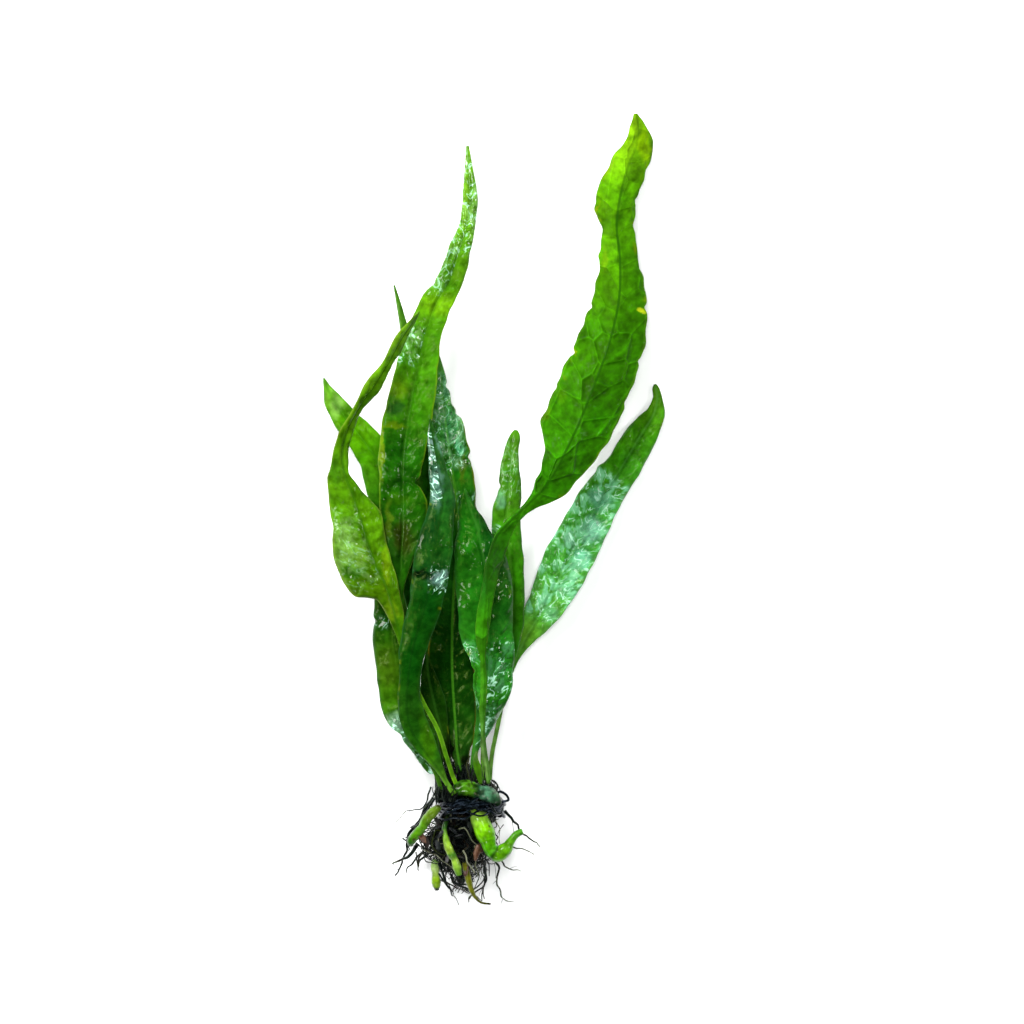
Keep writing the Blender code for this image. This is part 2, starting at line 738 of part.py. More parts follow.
def frond_rings(spec):
    rows = np.array(spec["rows"], dtype=float)
    points = rows[:, :3]
    knots = knots_of(points)
    widest = np.maximum(rows[:, 3:5].max(axis=1)[:-1], rows[:, 3:5].max(axis=1)[1:])
    gaps = np.where(widest > STALK_HALF_WIDTH, STATION_GAP, STALK_STATION_GAP)
    places = places_between(knots, gaps)
    centre, tangent, side, normal = path_frames(knots, points, smooth_slopes(knots, points), places)
    shape = hermite(knots, rows[:, 3:], steady_slopes(knots, rows[:, 3:]), places)
    roll = np.radians(shape[:, 2:3])
    across = side * np.cos(roll) + normal * np.sin(roll)
    upward = normal * np.cos(roll) - side * np.sin(roll)

    share = places / knots[-1]
    rib = RIB_AT_BASE + (RIB_AT_TIP - RIB_AT_BASE) * share
    half_width = (shape[:, 0] + shape[:, 1]) / 2
    blade = np.clip((half_width - STALK_HALF_WIDTH) / (FULL_BLADE_HALF_WIDTH - STALK_HALF_WIDTH), 0, 1)
    turn = 2 * math.pi * places / spec["wave"] + spec["phase"]
    waves = (np.sin(turn), np.sin(turn / RIGHT_WAVE_SHARE + RIGHT_WAVE_SHIFT))
    fold = math.radians(spec["fold"])

    columns = []
    for across_share, face in FROND_SECTION:
        width = shape[:, 0] if across_share < 0 else shape[:, 1]
        reach = abs(across_share) * width
        wave = waves[0] if across_share < 0 else waves[1]
        rise = reach * math.sin(fold) * blade
        rise = rise + spec["ruffle"] * across_share**2 * blade * wave
        shoulder = np.maximum(BLADE_HALF, STALK_SHOULDER * rib * (1 - blade))
        half = rib if across_share == 0 else shoulder
        sideways = reach * (1 - (1 - math.cos(fold)) * blade) * (-1 if across_share < 0 else 1)
        column = centre + across * sideways[:, None] + upward * (rise + face * half)[:, None]
        least = {1: 2 * BLADE_HALF, 0: MARGIN_HALF, -1: 0.0}[face]
        columns.append(rest_on_floor(column, least))
    return np.stack(columns, axis=1)


def tube_rings(points, radii, sides, step):
    points = np.array(points, dtype=float)
    knots = knots_of(points)
    places = places_between(knots, [step] * (len(knots) - 1))
    centre, tangent, side, normal = path_frames(knots, points, smooth_slopes(knots, points), places)
    sizes = np.array(radii, dtype=float)[:, None]
    radius = hermite(knots, sizes, steady_slopes(knots, sizes), places)
    columns = []
    for index in range(sides):
        angle = 2 * math.pi * (index + 0.5) / sides
        column = centre + (side * math.cos(angle) + normal * math.sin(angle)) * radius
        columns.append(rest_on_floor(column, 0.0))
    return np.stack(columns, axis=1)


def add_fronds():
    for name, spec in FRONDS.items():
        material = make_material(name + "_leaf", spec["colour"], 0.3)
        add_object(name, join_rings(frond_rings(spec)), material)


def add_rhizomes():
    for name, rows in RHIZOMES.items():
        points = [row[:3] for row in rows]
        radii = [row[3] for row in rows]
        material = make_material(name + "_skin", RHIZOME_COLOURS[name], 0.35)
        add_object(name, join_rings(tube_rings(points, radii, RHIZOME_SIDES, RHIZOME_STEP)), material)


def add_roots():
    for name, spec in ROOTS.items():
        points = spec["points"]
        taper = (1 - ROOT_TIP_SHARE) / (len(points) - 1)
        radii = [spec["radius"] * (1 - taper * index) for index in range(len(points))]
        material = make_material(name + "_bark", ROOT_COLOUR, 0.5)
        add_object(name, join_rings(tube_rings(points, radii, ROOT_SIDES, ROOT_STEP)), material)


def add_root_mat():
    rows = np.array(ROOT_MAT, dtype=float)
    knots = knots_of(rows[:, :1])
    places = places_between(knots, [ROOT_MAT_STEP] * (len(knots) - 1))
    shape = hermite(knots, rows, steady_slopes(knots, rows), places)
    rings = []
    for y, middle_x, half_x, half_z, middle_z in shape:
        ring = []
        for index in range(ROOT_MAT_SIDES):
            angle = 2 * math.pi * index / ROOT_MAT_SIDES
            lump = math.sin(3 * angle + ROOT_MAT_TWIST * y) * math.sin(2 * angle + y)
            lump += math.sin(5 * angle - y) / 2
            swell = 1 + ROOT_MAT_LUMP * lump
            x = middle_x + half_x * swell * math.cos(angle)
            z = middle_z + half_z * swell * math.sin(angle)
            ring.append((x, y, max(z, 0.0)))
        rings.append(ring)
    add_object("root_mat", join_rings(rings), make_material("root_mat_fibre", ROOT_COLOUR, 0.6))


def tie_profile():
    # Radial place and place along Y of the band's section, ribbed by its turns
    count = 2 * TIE_TURNS
    outer = []
    for index in range(count + 1):
        outer.append((TIE_RIB * (index % 2), TIE_WIDTH * (0.5 - index / count)))
    inner_place = TIE_RIB - TIE_THICKNESS
    return outer + [(inner_place, -TIE_WIDTH / 2), (inner_place, TIE_WIDTH / 2)]


def add_tie():
    x0, y0, z0 = TIE_CENTRE
    profile = tie_profile()
    body = bmesh.new()
    rings = []
    for step in range(TIE_SIDES):
        angle = 2 * math.pi * step / TIE_SIDES
        slant = TIE_SLANT * math.sin(angle + TIE_SLANT_START)
        ring = []
        for out, along in profile:
            x = x0 + (TIE_HALF_X - TIE_RIB + out) * math.cos(angle)
            z = z0 + (TIE_HALF_Z - TIE_RIB + out) * math.sin(angle)
            ring.append(body.verts.new((x, y0 + along + slant, z)))
        rings.append(ring)
    count = len(profile)
    for step in range(TIE_SIDES):
        here = rings[step]
        there = rings[(step + 1) % TIE_SIDES]
        for index in range(count):
            after = (index + 1) % count
            body.faces.new((here[index], here[after], there[after], there[index]))
    material = make_material("tie_elastic", (0.01, 0.014, 0.022), 0.35)
    tie = add_object("tie", body, material)

    radii = [TIE_LOOP_RADIUS] * len(TIE_LOOP)
    loop_rings = tube_rings(TIE_LOOP, radii, TIE_LOOP_SIDES, TIE_LOOP_STEP)
    loop = add_object("tie_loop_cutter", join_rings(loop_rings), material)
    loop.hide_render = True
    loop.display_type = "WIRE"
    union = tie.modifiers.new("loop", "BOOLEAN")
    union.operation = "UNION"
    union.solver = "EXACT"
    union.use_self = True
    union.object = loop


def main():
    clear_scene()
    add_fronds()
    add_rhizomes()
    add_root_mat()
    add_roots()
    add_tie()


main()
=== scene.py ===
import math
from functools import partial

import bpy
import numpy as np
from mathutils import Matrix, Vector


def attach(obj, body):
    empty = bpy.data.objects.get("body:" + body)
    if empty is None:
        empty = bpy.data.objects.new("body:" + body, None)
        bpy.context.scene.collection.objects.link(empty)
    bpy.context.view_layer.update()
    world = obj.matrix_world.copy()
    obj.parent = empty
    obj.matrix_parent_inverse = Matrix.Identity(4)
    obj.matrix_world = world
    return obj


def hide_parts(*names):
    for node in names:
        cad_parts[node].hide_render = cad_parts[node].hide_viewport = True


# Java fern lying on its back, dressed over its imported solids.
# Tables are in millimetres, the scene is in metres. Leaf tips point along +Y, +Z is up.

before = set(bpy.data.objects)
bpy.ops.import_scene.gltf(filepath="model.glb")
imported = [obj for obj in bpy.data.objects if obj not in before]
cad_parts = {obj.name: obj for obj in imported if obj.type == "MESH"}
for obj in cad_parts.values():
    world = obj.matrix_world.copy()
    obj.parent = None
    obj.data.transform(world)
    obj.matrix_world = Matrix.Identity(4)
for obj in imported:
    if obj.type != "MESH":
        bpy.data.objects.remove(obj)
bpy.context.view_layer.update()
mm = 0.001
seed = 7
print("frame loaded:", len(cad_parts), "solids")


# Small helpers

smooth = {"interpolation_type": "SMOOTHSTEP"}                     # settings of a Map Range with soft ends
clampedSum = {"operation": "MULTIPLY_ADD", "use_clamp": True}
cellGrid = {"Scale": 1.0, "Randomness": 0.85}                     # of the leaves' cells
grey = (0.5, 0.5, 0.5)                                            # the middle of a noise's colour


def linearColour(hexText, gain=1.0):
    parts = [int(hexText[i:i + 2], 16) / 255 for i in (1, 3, 5)]
    linear = [p / 12.92 if p <= 0.04045 else ((p + 0.055) / 1.055) ** 2.4 for p in parts]
    return (*[p * gain for p in linear], 1.0)


def connect(tree, node, inputs):
    # Each input is a value, or the node or socket that drives it. A list fills the sockets in order,
    # which for a Map Range are value, from low, from high, to low, to high
    pairs = inputs.items() if isinstance(inputs, dict) else enumerate(inputs)
    for name, source in pairs:
        if isinstance(source, bpy.types.Node):
            source = source.outputs[0]
        if isinstance(source, bpy.types.NodeSocket):
            tree.links.new(source, node.inputs[name])
        else:
            node.inputs[name].default_value = source
    return node


def addNode(tree, kind, settings=None, inputs=()):
    # A kind without Node in its name is a shader node. A bare word as settings is the operation
    node = tree.nodes.new(kind if "Node" in kind else "ShaderNode" + kind)
    if isinstance(settings, str):
        settings = {"operation": settings}
    for name, value in (settings or {}).items():
        setattr(node, name, value)
    return connect(tree, node, inputs)


def setStops(ramp, tones, gain=1.0):
    # All stops are placed before any is coloured, which keeps their order
    stops = ramp.color_ramp.elements
    while len(stops) < len(tones):
        stops.new(0.5)
    for stop, (where, tone) in zip(stops, tones):
        stop.position = where
    for stop, (where, tone) in zip(stops, tones):
        stop.color = linearColour(tone, gain)


def newMaterial(name):
    # Also returns what adds a node to the material, and what sets or links the shader's inputs
    material = bpy.data.materials.new(name)
    material.use_nodes = True
    tree = material.node_tree
    return material, partial(addNode, tree), partial(connect, tree, tree.nodes["Principled BSDF"])


def skinMaterial(name, attribute, look):
    # The attribute picks a tone, a noise shifts it, and the finest noise carries roughness and bump
    material, add, shade = newMaterial(name)
    here = add("TexCoord").outputs["Object"]
    noises = [add("TexNoise", None, {"Vector": here, "Scale": 1 / (size * mm), "Detail": detail})
              for size, detail in look["noises"]]
    tone = add("Attribute", {"attribute_name": attribute}).outputs["Fac"]
    level = add("Math", "MULTIPLY_ADD", [noises[0], look["shift"], tone])
    ramp = add("ValToRGB", None, [add("Math", "SUBTRACT", [level, look["shift"] / 2])])
    setStops(ramp, look["stops"], look["gain"])
    strength, distance = look["bump"]
    bump = add("Bump", None, {"Height": noises[-1], "Strength": strength, "Distance": distance * mm})
    rough = add("MapRange", None, [noises[-1], 0, 1, *look["rough"]])
    shade({"Base Color": ramp, "Roughness": rough, "Normal": bump, **look["shader"]})
    return material, add, shade, here, ramp


def newTree(name, sizes):
    # A Geometry Nodes tree with named inputs; None stands for a material
    tree = bpy.data.node_groups.new(name, "GeometryNodeTree")
    face = tree.interface
    face.new_socket("Geometry", in_out="INPUT", socket_type="NodeSocketGeometry")
    for label, value in sizes.items():
        kind = {float: "Float", int: "Int", type(None): "Material"}[type(value)]
        socket = face.new_socket(label, in_out="INPUT", socket_type="NodeSocket" + kind)
        if value is not None:
            socket.default_value = value
    face.new_socket("Geometry", in_out="OUTPUT", socket_type="NodeSocketGeometry")
    add = partial(addNode, tree)
    return tree, add, add("NodeGroupInput").outputs


def endTree(tree, geometry, material):
    real = addNode(tree, "GeometryNodeRealizeInstances", None, [geometry])
    soft = addNode(tree, "GeometryNodeSetShadeSmooth", None, [real])
    painted = addNode(tree, "GeometryNodeSetMaterial", None, {"Geometry": soft, "Material": material})
    addNode(tree, "NodeGroupOutput", None, [painted])
    return tree


def newObject(name, data):
    item = bpy.data.objects.new(name, data)
    bpy.context.scene.collection.objects.link(item)
    return item


def pointValues(mesh, columns):
    for label, values in columns.items():
        values = np.asarray(values, dtype=np.float32)
        kind, field = ("FLOAT", "value") if values.ndim == 1 else ("FLOAT_VECTOR", "vector")
        mesh.attributes.new(label, kind, "POINT").data.foreach_set(field, values.ravel())


def ringMesh(name, rings, flip=False):
    # Rings of points joined to one closed skin
    stations, count = rings.shape[:2]
    index = np.arange(stations * count).reshape(stations, count)
    after = np.roll(index, -1, axis=1)
    corners = [index[:-1], after[:-1], after[1:], index[1:]]
    ends = [index[0][::-1], index[-1]]
    if flip:
        corners = corners[:1] + corners[:0:-1]
        ends = [end[::-1] for end in ends]
    faces = np.stack(corners, axis=2).reshape(-1, 4).tolist() + [end.tolist() for end in ends]
    mesh = bpy.data.meshes.new(name)
    mesh.from_pydata((rings.reshape(-1, 3) * mm).tolist(), [], faces)
    return mesh


def grow(name, mesh, tree, sizes):
    # Runs a tree on a mesh and keeps the result as a plain object
    item = newObject(name, mesh)
    modifier = item.modifiers.new("grow", "NODES")
    modifier.node_group = tree
    for socket in tree.interface.items_tree:
        if socket.in_out == "INPUT" and socket.name in sizes:
            value = sizes[socket.name]
            modifier[socket.identifier] = float(value) if socket.socket_type == "NodeSocketFloat" else value
    graph = bpy.context.evaluated_depsgraph_get()
    grown = bpy.data.meshes.new_from_object(item.evaluated_get(graph))
    item.modifiers.remove(modifier)
    item.data = grown
    bpy.data.meshes.remove(mesh)
    return item


def keepOnFloor(item):
    lowest = 0.05
    found = np.empty(len(item.data.vertices) * 3, dtype=np.float32)
    item.data.vertices.foreach_get("co", found)
    found[2::3] = np.maximum(found[2::3], lowest * mm)
    item.data.vertices.foreach_set("co", found)


def place(item, node=None):
    # Fibres and scales that no solid holds replace no node
    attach(item, "root")
    if node:
        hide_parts(node)


# Paths

def unit(vectors):
    return vectors / np.linalg.norm(vectors, axis=1)[:, None]


def knotsOf(points):
    return np.concatenate([[0.0], np.cumsum(np.linalg.norm(np.diff(points, axis=0), axis=1))])


def between(knots, values, places, steady=False):
    # Values at places along a path, by cubic pieces. Steady ones never overshoot their knots
    step = np.diff(knots)[:, None]
    rate = np.diff(values, axis=0) / step
    before, after = rate[:-1], rate[1:]
    if steady:
        same = before * after > 0
        inner = np.where(same, 2 * before * after / np.where(same, before + after, 1.0), 0.0)
    else:
        inner = (after * step[:-1] + before * step[1:]) / (step[1:] + step[:-1])
    slopes = np.concatenate([rate[:1], inner, rate[-1:]])
    index = np.clip(np.searchsorted(knots, places, side="right") - 1, 0, len(knots) - 2)
    width = (knots[index + 1] - knots[index])[:, None]
    t = (places - knots[index])[:, None] / width
    start = (2 * t**3 - 3 * t**2 + 1) * values[index] + (t**3 - 2 * t**2 + t) * width * slopes[index]
    end = (3 * t**2 - 2 * t**3) * values[index + 1] + (t**3 - t**2) * width * slopes[index + 1]
    return start + end


def placesBetween(knots, gaps):
    places = [0.0]
    for start, end, gap in zip(knots[:-1], knots[1:], gaps):
        count = max(1, math.ceil((end - start) / gap))
        places.extend(start + (end - start) * (step + 1) / count for step in range(count))
    return np.array(places)


def pathFrames(knots, points, places):
    # The path at the places, with its directions sideways and up
    reach = knots[-1] * 0.001
    centre = between(knots, points, places)
    ahead = between(knots, points, np.minimum(places + reach, knots[-1]))
    behind = between(knots, points, np.maximum(places - reach, 0.0))
    tangent = unit(ahead - behind)
    normal = unit(np.array([0.0, 0.0, 1.0]) - tangent * tangent[:, 2:3])
    return centre, np.cross(tangent, normal), normal


def ease(values):
    values = np.clip(values, 0, 1)
    return values * values * (3 - 2 * values)


def band(values, low, high, soft):
    return ease((values - low) / soft + 0.5) * ease((high - values) / soft + 0.5)


# Leaves

leafSizes = {
    "bladeHalf": 0.16,             # half the blade's thickness
    "marginHalf": 0.064,
    "ribAtBase": 0.6,              # half the midrib's height
    "ribAtTip": 0.24,
    "ribShare": 0.55,              # how much of the rib stands up from the blade
    "ribWidth": 0.45,
    "ribFlat": 0.6,                # relief starts this far from the rib
    "stalkHalfWidth": 1.1,
    "fullBladeHalfWidth": 3.6,
    "stalkShare": 0.86,            # stalks are this much slimmer than their solids
    "stalkRow": (0.7, 0.7, 0),     # half widths and roll where a row leaves them out
    "step": 0.34,                  # along the blade
    "stalkStep": 0.9,
    "acrossStep": 0.36,
    "lastColumns": (0.95, 0.985),  # shares of the half width
    "veinLean": 0.6,               # how far the side veins run forward for each step outwards
    "nickLengths": (2.3, 3.7, 0.9),
    "tinyNick": 0.4,
    "rightWaves": (0.87, 1.9),     # length against the left margin's waves, and shift
    "creaseWobble": 0.8,
    "wobbleRate": 1.3,
    "creaseWidth": 0.7,
    "curlSoft": 6,
    "crinkleSoft": 5,
    "leastCrinkle": 0.08,
    "crumple": (2.0, 0.15),        # gain and least share of the cells' relief where the blade crinkles
    "seedStep": 3.7,
    "gain": 0.4,                   # the studio light is brighter than white, so tones are held down
}
# Inputs of the relief tree; each leaf sets its own cells, swell, veins and wrinkle share
reliefSizes = {
    "Cell Length": 4.0, "Cell Width": 3.0, "Swell": 0.3, "Vein Width": 0.3, "Wrinkle Height": 1.7,
    "Wrinkle Size": 3.2, "Crinkle Height": 2.2, "Crinkle Size": 2.4, "Seed": 0.0, "Material": None,
}

# What a leaf has unless its own entry says otherwise
usualLeaf = {
    "slot": "leaf_bright", "patches": [],
    # angle of its halves, height and length of its margins' waves, and depth of its nicks
    "fold": 8, "ruffle": 0.5, "wave": 16, "nick": 0.15,
    # length and width of the cells between its veins, their swell, and the width of the veins
    "cell": (5, 4), "pucker": 0.3, "veinWidth": 0.3,
    # lowest and highest roughness, the clear coat, and where along the leaf its rib is dark
    "gloss": (0.26, 0.42), "coat": 0.7, "ribSpan": (0, 1),
    # how strong the rib, the painted shade of the right half, the blotches, the margin and the net of veins
    # are drawn
    "ribShare": 0.3, "rightShare": 0.2, "blotch": 0.5, "edge": 0.2, "net": 0.1,
    # and the painted shade of its creases and the painted glints of its crinkled places
    "crease": 0.75, "thread": 0.3,
}

# Each leaf also has a phase of its waves, a share of the wrinkles, the tones of its rib, margin, right
# half (painted shade) and deep blotches, and a tone and share of painted milky sheen. Patches hold x, y,
# their half sizes, tone and share; some are the leaf's own tones, others painted shade or highlights.
# Colours hold y and tone. Rows hold x, y, z, the half widths on the left and on the right, and the roll
# in degrees. A row may leave out a roll of 0, and on a slim stalk the half widths too
leaves = {
    "tall_right": {
        # its dark rib line and its darker right half are painted shade
        "slot": "leaf_matte", "fold": -9, "ruffle": 0.7, "wave": 21, "phase": 0.4, "pucker": -0.6,
        "cell": (8.5, 7), "wrinkle": 0.5, "gloss": (0.42, 0.6), "coat": 0.1, "rib": "#1D5A04",
        "ribShare": 0.8, "ribSpan": (0.29, 0.92), "margin": "#7FB030", "right": "#1F6000",
        "rightShare": 0.55, "deep": "#2A6A02", "net": 0.5, "veinWidth": 0.08, "milk": ("#88C878", 0.2),
        "edge": 0.3, "nick": 0.3, "thread": 0,
        "patches": [
            (11.6, 18.8, 1.4, 3.3, "#6A8A0C", 0.6), (28.6, 82.4, 0.5, 3, "#A8BC14", 0.6),
            (30.5, 68.5, 1.2, 4, "#7AA80C", 0.5), (22, 43, 0.8, 1.4, "#B8B814", 0.7),
            (40.7, 54.7, 0.9, 1, "#B8C81C", 0.8), (14, 26.5, 1.7, 2.5, "#5A7A08", 0.5),
            (18.2, 31.2, 2.2, 2.8, "#4C8204", 0.5), (29.2, 49.1, 3.9, 5.5, "#3A8806", 0.4),
            (28.6, 24.3, 3.3, 5, "#2C8400", 0.4), (41.5, 100.5, 2, 5, "#9CD000", 0.5),
        ],
        "colours": [
            (-76, "#7FB050"), (-66, "#6F9C50"), (-55, "#4A9A20"), (-40, "#3C920E"), (-29, "#348A0E"),
            (-22, "#1F6A14"), (-11, "#1D5D12"), (-3, "#348A0A"), (6, "#2F8203"), (32, "#367E04"),
            (50, "#3F8802"), (71, "#58A404"), (90, "#66AE06"), (104, "#8CC810"),
        ],
        "rows": [
            (-1.5, -75.4, 18.8), (-2, -70.5, 19.8, 0.9, 0.9), (-2.8, -66, 20.6, 1, 1), (-3, -61.5, 21.4),
            (-3.1, -55, 22.6, 1.1, 1.1), (-2.8, -48, 23.5, 1, 1.1), (-3, -42, 24, 0.9, 0.9),
            (-3.2, -36, 24.3, 1.9, 1.6), (-2.9, -30, 24.5, 2.2, 2.2, -3), (-2.4, -24, 24.6, 1.5, 2.8, -14),
            (-1.9, -17.5, 24.5, 0.8, 4, -20), (-1.2, -12.5, 24.2, 0.5, 5.2, -24),
            (0.5, -8, 23.6, 0.6, 4.6, -20), (4.2, -3.6, 22.9, 0.8, 2.6, -8), (7.5, -0.5, 22.2, 0.8, 2),
            (10, 1.8, 21.7, 1.2, 2.6, -3), (14, 6, 21, 3.2, 5.4, -5), (18.5, 13.5, 20, 5.2, 7.7, -5),
            (22, 20.5, 18.5, 9.8, 9.2, -4), (27, 32.5, 15.5, 9.8, 10.1), (32, 46.5, 12, 9, 9.8, 3),
            (34.5, 58.5, 9, 7.2, 7.5, 3), (34.5, 71, 6.5, 5.2, 5), (33.8, 77, 5.5, 4.8, 5),
            (34.6, 85, 4.2, 6.8, 4.9, 2), (37, 94.5, 2.8, 5, 5.2, 3), (39.5, 101.5, 1.8, 3, 4.4),
            (39.5, 105.5, 1.2, 2.1, 2.6), (39, 109, 0.8, 0.6, 0.6),
        ],
    },
    "tall_left": {
        "ruffle": 0.7, "wave": 17, "phase": 1.1, "wrinkle": 0.8, "gloss": (0.25, 0.4), "coat": 0.8,
        "rib": "#2C6A10", "ribShare": 0.35, "margin": "#8FB820", "right": "#2A7A0A", "rightShare": 0.15,
        "deep": "#1A6004", "net": 0.16, "milk": ("#B8EC80", 0.75), "edge": 0.5, "thread": 0.6,
        # the pale mint patch is a painted highlight
        "patches": [
            (-26.1, 33.1, 3.3, 3.3, "#6E980A", 0.5), (-27, 27.9, 2.5, 2.8, "#0A3A1A", 0.6),
            (-27.8, 23, 3.3, 1.4, "#78960A", 0.5), (-26.7, 16.1, 3.3, 4.7, "#0C4A04", 0.75),
            (-31.1, 16.1, 1, 9.4, "#86A412", 0.7), (-20.9, 29.8, 2.5, 8.2, "#3A8C06", 0.5),
            (-24.5, 8.4, 4.4, 4.1, "#0A4204", 0.7), (-25.9, 2.3, 3.3, 1.9, "#3E7A06", 0.5),
            (-25, -7.8, 3.6, 5, "#2C3806", 0.8), (-29.2, -3.2, 1.4, 5.5, "#6A8A18", 0.5),
            (-24.2, 49.1, 1.9, 3.9, "#B8E8B0", 0.35), (-14.9, 56, 6.1, 3.9, "#8ACC10", 0.5),
            (-10.7, 64.2, 2.2, 2.2, "#5C8A14", 0.5), (-8, 84.8, 1.4, 8.2, "#A0D83A", 0.5),
        ],
        "colours": [
            (-76, "#4E8A1C"), (-20, "#1F5A06"), (-8, "#17480A"), (4, "#1F6203"), (16, "#24700A"),
            (28, "#44880A"), (45, "#4E9A0C"), (64, "#64A80C"), (84, "#80C020"), (100, "#90CC30"),
        ],
        "rows": [
            (-14.2, -79.2, 17.6), (-15, -75.4, 18.2), (-17.5, -69.5, 19), (-22, -61.5, 19.3),
            (-23.5, -50, 19.1), (-24.5, -36, 18.8), (-25.5, -24, 18.6, 0.8, 0.8),
            (-25.5, -14.5, 18, 3.6, 3.3), (-25, -6, 17.6, 5.8, 6.1), (-25, 1, 17.2, 6.6, 6.9),
            (-25, 7.5, 17, 6.6, 4.7), (-25, 13, 16.8, 6.9, 5.8), (-24, 21.5, 16.4, 6.9, 6.3, 2),
            (-22.5, 31, 15.6, 6.3, 6.6, 4), (-20.5, 40.5, 14.5, 5.8, 5.5, 5),
            (-18.5, 49, 13.4, 5.1, 4.6, 5), (-15.5, 57, 12, 4.2, 4.3, 4), (-12, 63, 10.8, 3.6, 3.6, 2),
            (-9.5, 71, 9.2, 3.2, 3.2), (-7.2, 79.5, 7.6, 2.3, 2.5), (-6.6, 85.5, 6.2, 2.3, 2.3),
            (-7, 92.5, 4.4, 1.4, 1.6), (-7.3, 100, 2.6, 0.5, 0.5),
        ],
    },
    "slender_back": {
        "fold": 10, "ruffle": 0.3, "wave": 17, "phase": 0, "pucker": 0.1, "cell": (4, 3), "wrinkle": 0.5,
        "coat": 0.5, "rib": "#3F7A20", "margin": "#6FA840", "right": "#1A5A08", "rightShare": 0.4,
        "deep": "#1A5A04", "blotch": 0.4, "milk": ("#C8F0C0", 0.5),
        "colours": [
            (-76, "#3E7A18"), (-36, "#154C10"), (-3, "#164F0A"), (16, "#2C7A06"), (34, "#5A9507"),
            (46, "#60A022"), (60, "#4C8A18"),
        ],
        "rows": [
            (-11.5, -74.8, 10.2), (-14, -58, 9.5), (-16.5, -36, 9), (-18.5, -19.5, 9, 2.2, 2.2),
            (-19.5, -3, 9.2, 3.3, 3), (-21, 16, 9.2, 3.6, 3.3), (-22.5, 34, 9, 3.3, 3.6),
            (-23.7, 44, 8.6, 1.9, 2.5), (-24.9, 50, 8, 1.2, 1.4), (-26, 55.5, 7.2, 0.9, 0.8),
            (-27.5, 61.5, 6, 0.3, 0.3),
        ],
    },
    "folded_left": {
        "slot": "leaf_lime", "fold": 0, "phase": 2.2, "pucker": 0.35, "wrinkle": 0.9,
        "gloss": (0.22, 0.38), "rib": "#2E6A0A", "ribShare": 0.6, "margin": "#B8C850", "right": "#3A7A06",
        "deep": "#2F6A00", "net": 0.12, "milk": ("#B4E080", 0.8), "edge": 0.35, "thread": 0.2,
        "crease": 0.5,
        # the pale patch on the left lobe is a painted sheen
        "patches": [
            (-41, -9.5, 3.3, 7.2, "#A8CC70", 0.3), (-34.7, -0.7, 4.1, 5.5, "#5A9A04", 0.6),
            (-39.1, -17.5, 3.9, 1.9, "#2C6A04", 0.8), (-29.7, -15.8, 1.4, 7.2, "#86A80E", 0.5),
            (-43.2, 10.6, 2.2, 6.1, "#3E8010", 0.6), (-28.3, -28.5, 2.2, 3.9, "#789A0E", 0.5),
            (-36.3, -12.8, 2.2, 3.9, "#7AA42C", 0.5), (-27, 45.5, 1.6, 3, "#4A5A0C", 0.3),
            (-36.9, 24.3, 2.8, 4.4, "#5A9A0A", 0.5),
        ],
        "colours": [
            (-76, "#7FBF1E"), (-50, "#6FAF1E"), (-38, "#40780A"), (-26, "#447203"), (-18, "#528403"),
            (-6, "#66A60C"), (4, "#62A60C"), (12, "#528E06"), (26, "#68A80A"), (40, "#6CB212"),
            (54, "#70B01C"),
        ],
        "rows": [
            (-9.6, -77.2, 19.6), (-10.8, -74.6, 20.2), (-13, -68, 21), (-15.5, -60.5, 21),
            (-19.5, -53, 20.8), (-23, -45, 20.7), (-25.5, -36, 20.9, 1.1, 1.4),
            (-27.5, -28, 21, 2.5, 2.8, -4), (-28.6, -24.4, 21, 3.4, 3, -5),
            (-29.5, -21.5, 21.1, 8, 3.3, -6), (-31.5, -17.5, 21, 9.9, 4.1, -8),
            (-34, -11.5, 21.2, 10.2, 5, -8), (-36.5, -3, 21.4, 8.2, 5.8, -6),
            (-39, 4.5, 21.6, 6.8, 2.6, -4), (-41, 9.5, 21.7, 5, 1.4, -6),
            (-41.6, 12.5, 21.8, 3.4, 1.9, -12), (-41, 19.5, 22, 2.5, 2.5, -45),
            (-38, 26.5, 22, 2.8, 2.8, -62), (-33, 34, 22, 3.6, 3.6, -62), (-29, 40.5, 22, 3.3, 3.3, -62),
            (-25, 47.5, 21.4, 2.5, 2.5, -60), (-22.5, 51, 20.8, 1.6, 1.6, -55),
            (-20.5, 54, 20.2, 0.3, 0.3, -40),
        ],
    },
    "outer_left": {
        "slot": "leaf_lime", "phase": 0.8, "pucker": 0.1, "cell": (4.6, 3.6), "wrinkle": 0.6, "coat": 0.6,
        "rib": "#3F8A14", "ribShare": 0.4, "margin": "#8CC860", "right": "#4A9008", "rightShare": 0.15,
        "deep": "#3A8A02", "net": 0.15, "milk": ("#A8E470", 0.5),
        "patches": [
            (-43.5, 28.5, 2.2, 3.9, "#98CC60", 0.5), (-37.4, 19.7, 3.9, 3.9, "#5CAC04", 0.6),
            (-33.8, 8.4, 2.5, 5.5, "#4E9A10", 0.5),
        ],
        "colours": [
            (-76, "#2A6010"), (-30, "#0E4A0C"), (-10, "#175008"), (4, "#3A8010"), (14, "#52A205"),
            (25, "#5CA806"), (36, "#7CBA38"),
        ],
        "rows": [
            (-14, -74.8, 10.3), (-15.5, -61, 9), (-18, -41.5, 7.5), (-20.5, -30.5, 6.8, 2.2, 2.2),
            (-23.5, -18.5, 6.2, 3.6, 3.6), (-26.5, -6, 5.6, 5.2, 4.7), (-29.5, 5, 5, 5.6, 4.7, 2),
            (-33, 14.5, 4.4, 4.8, 5, 3), (-37, 20, 3.8, 4, 4.3, 3), (-41, 25, 2.8, 3.6, 3.2, 2),
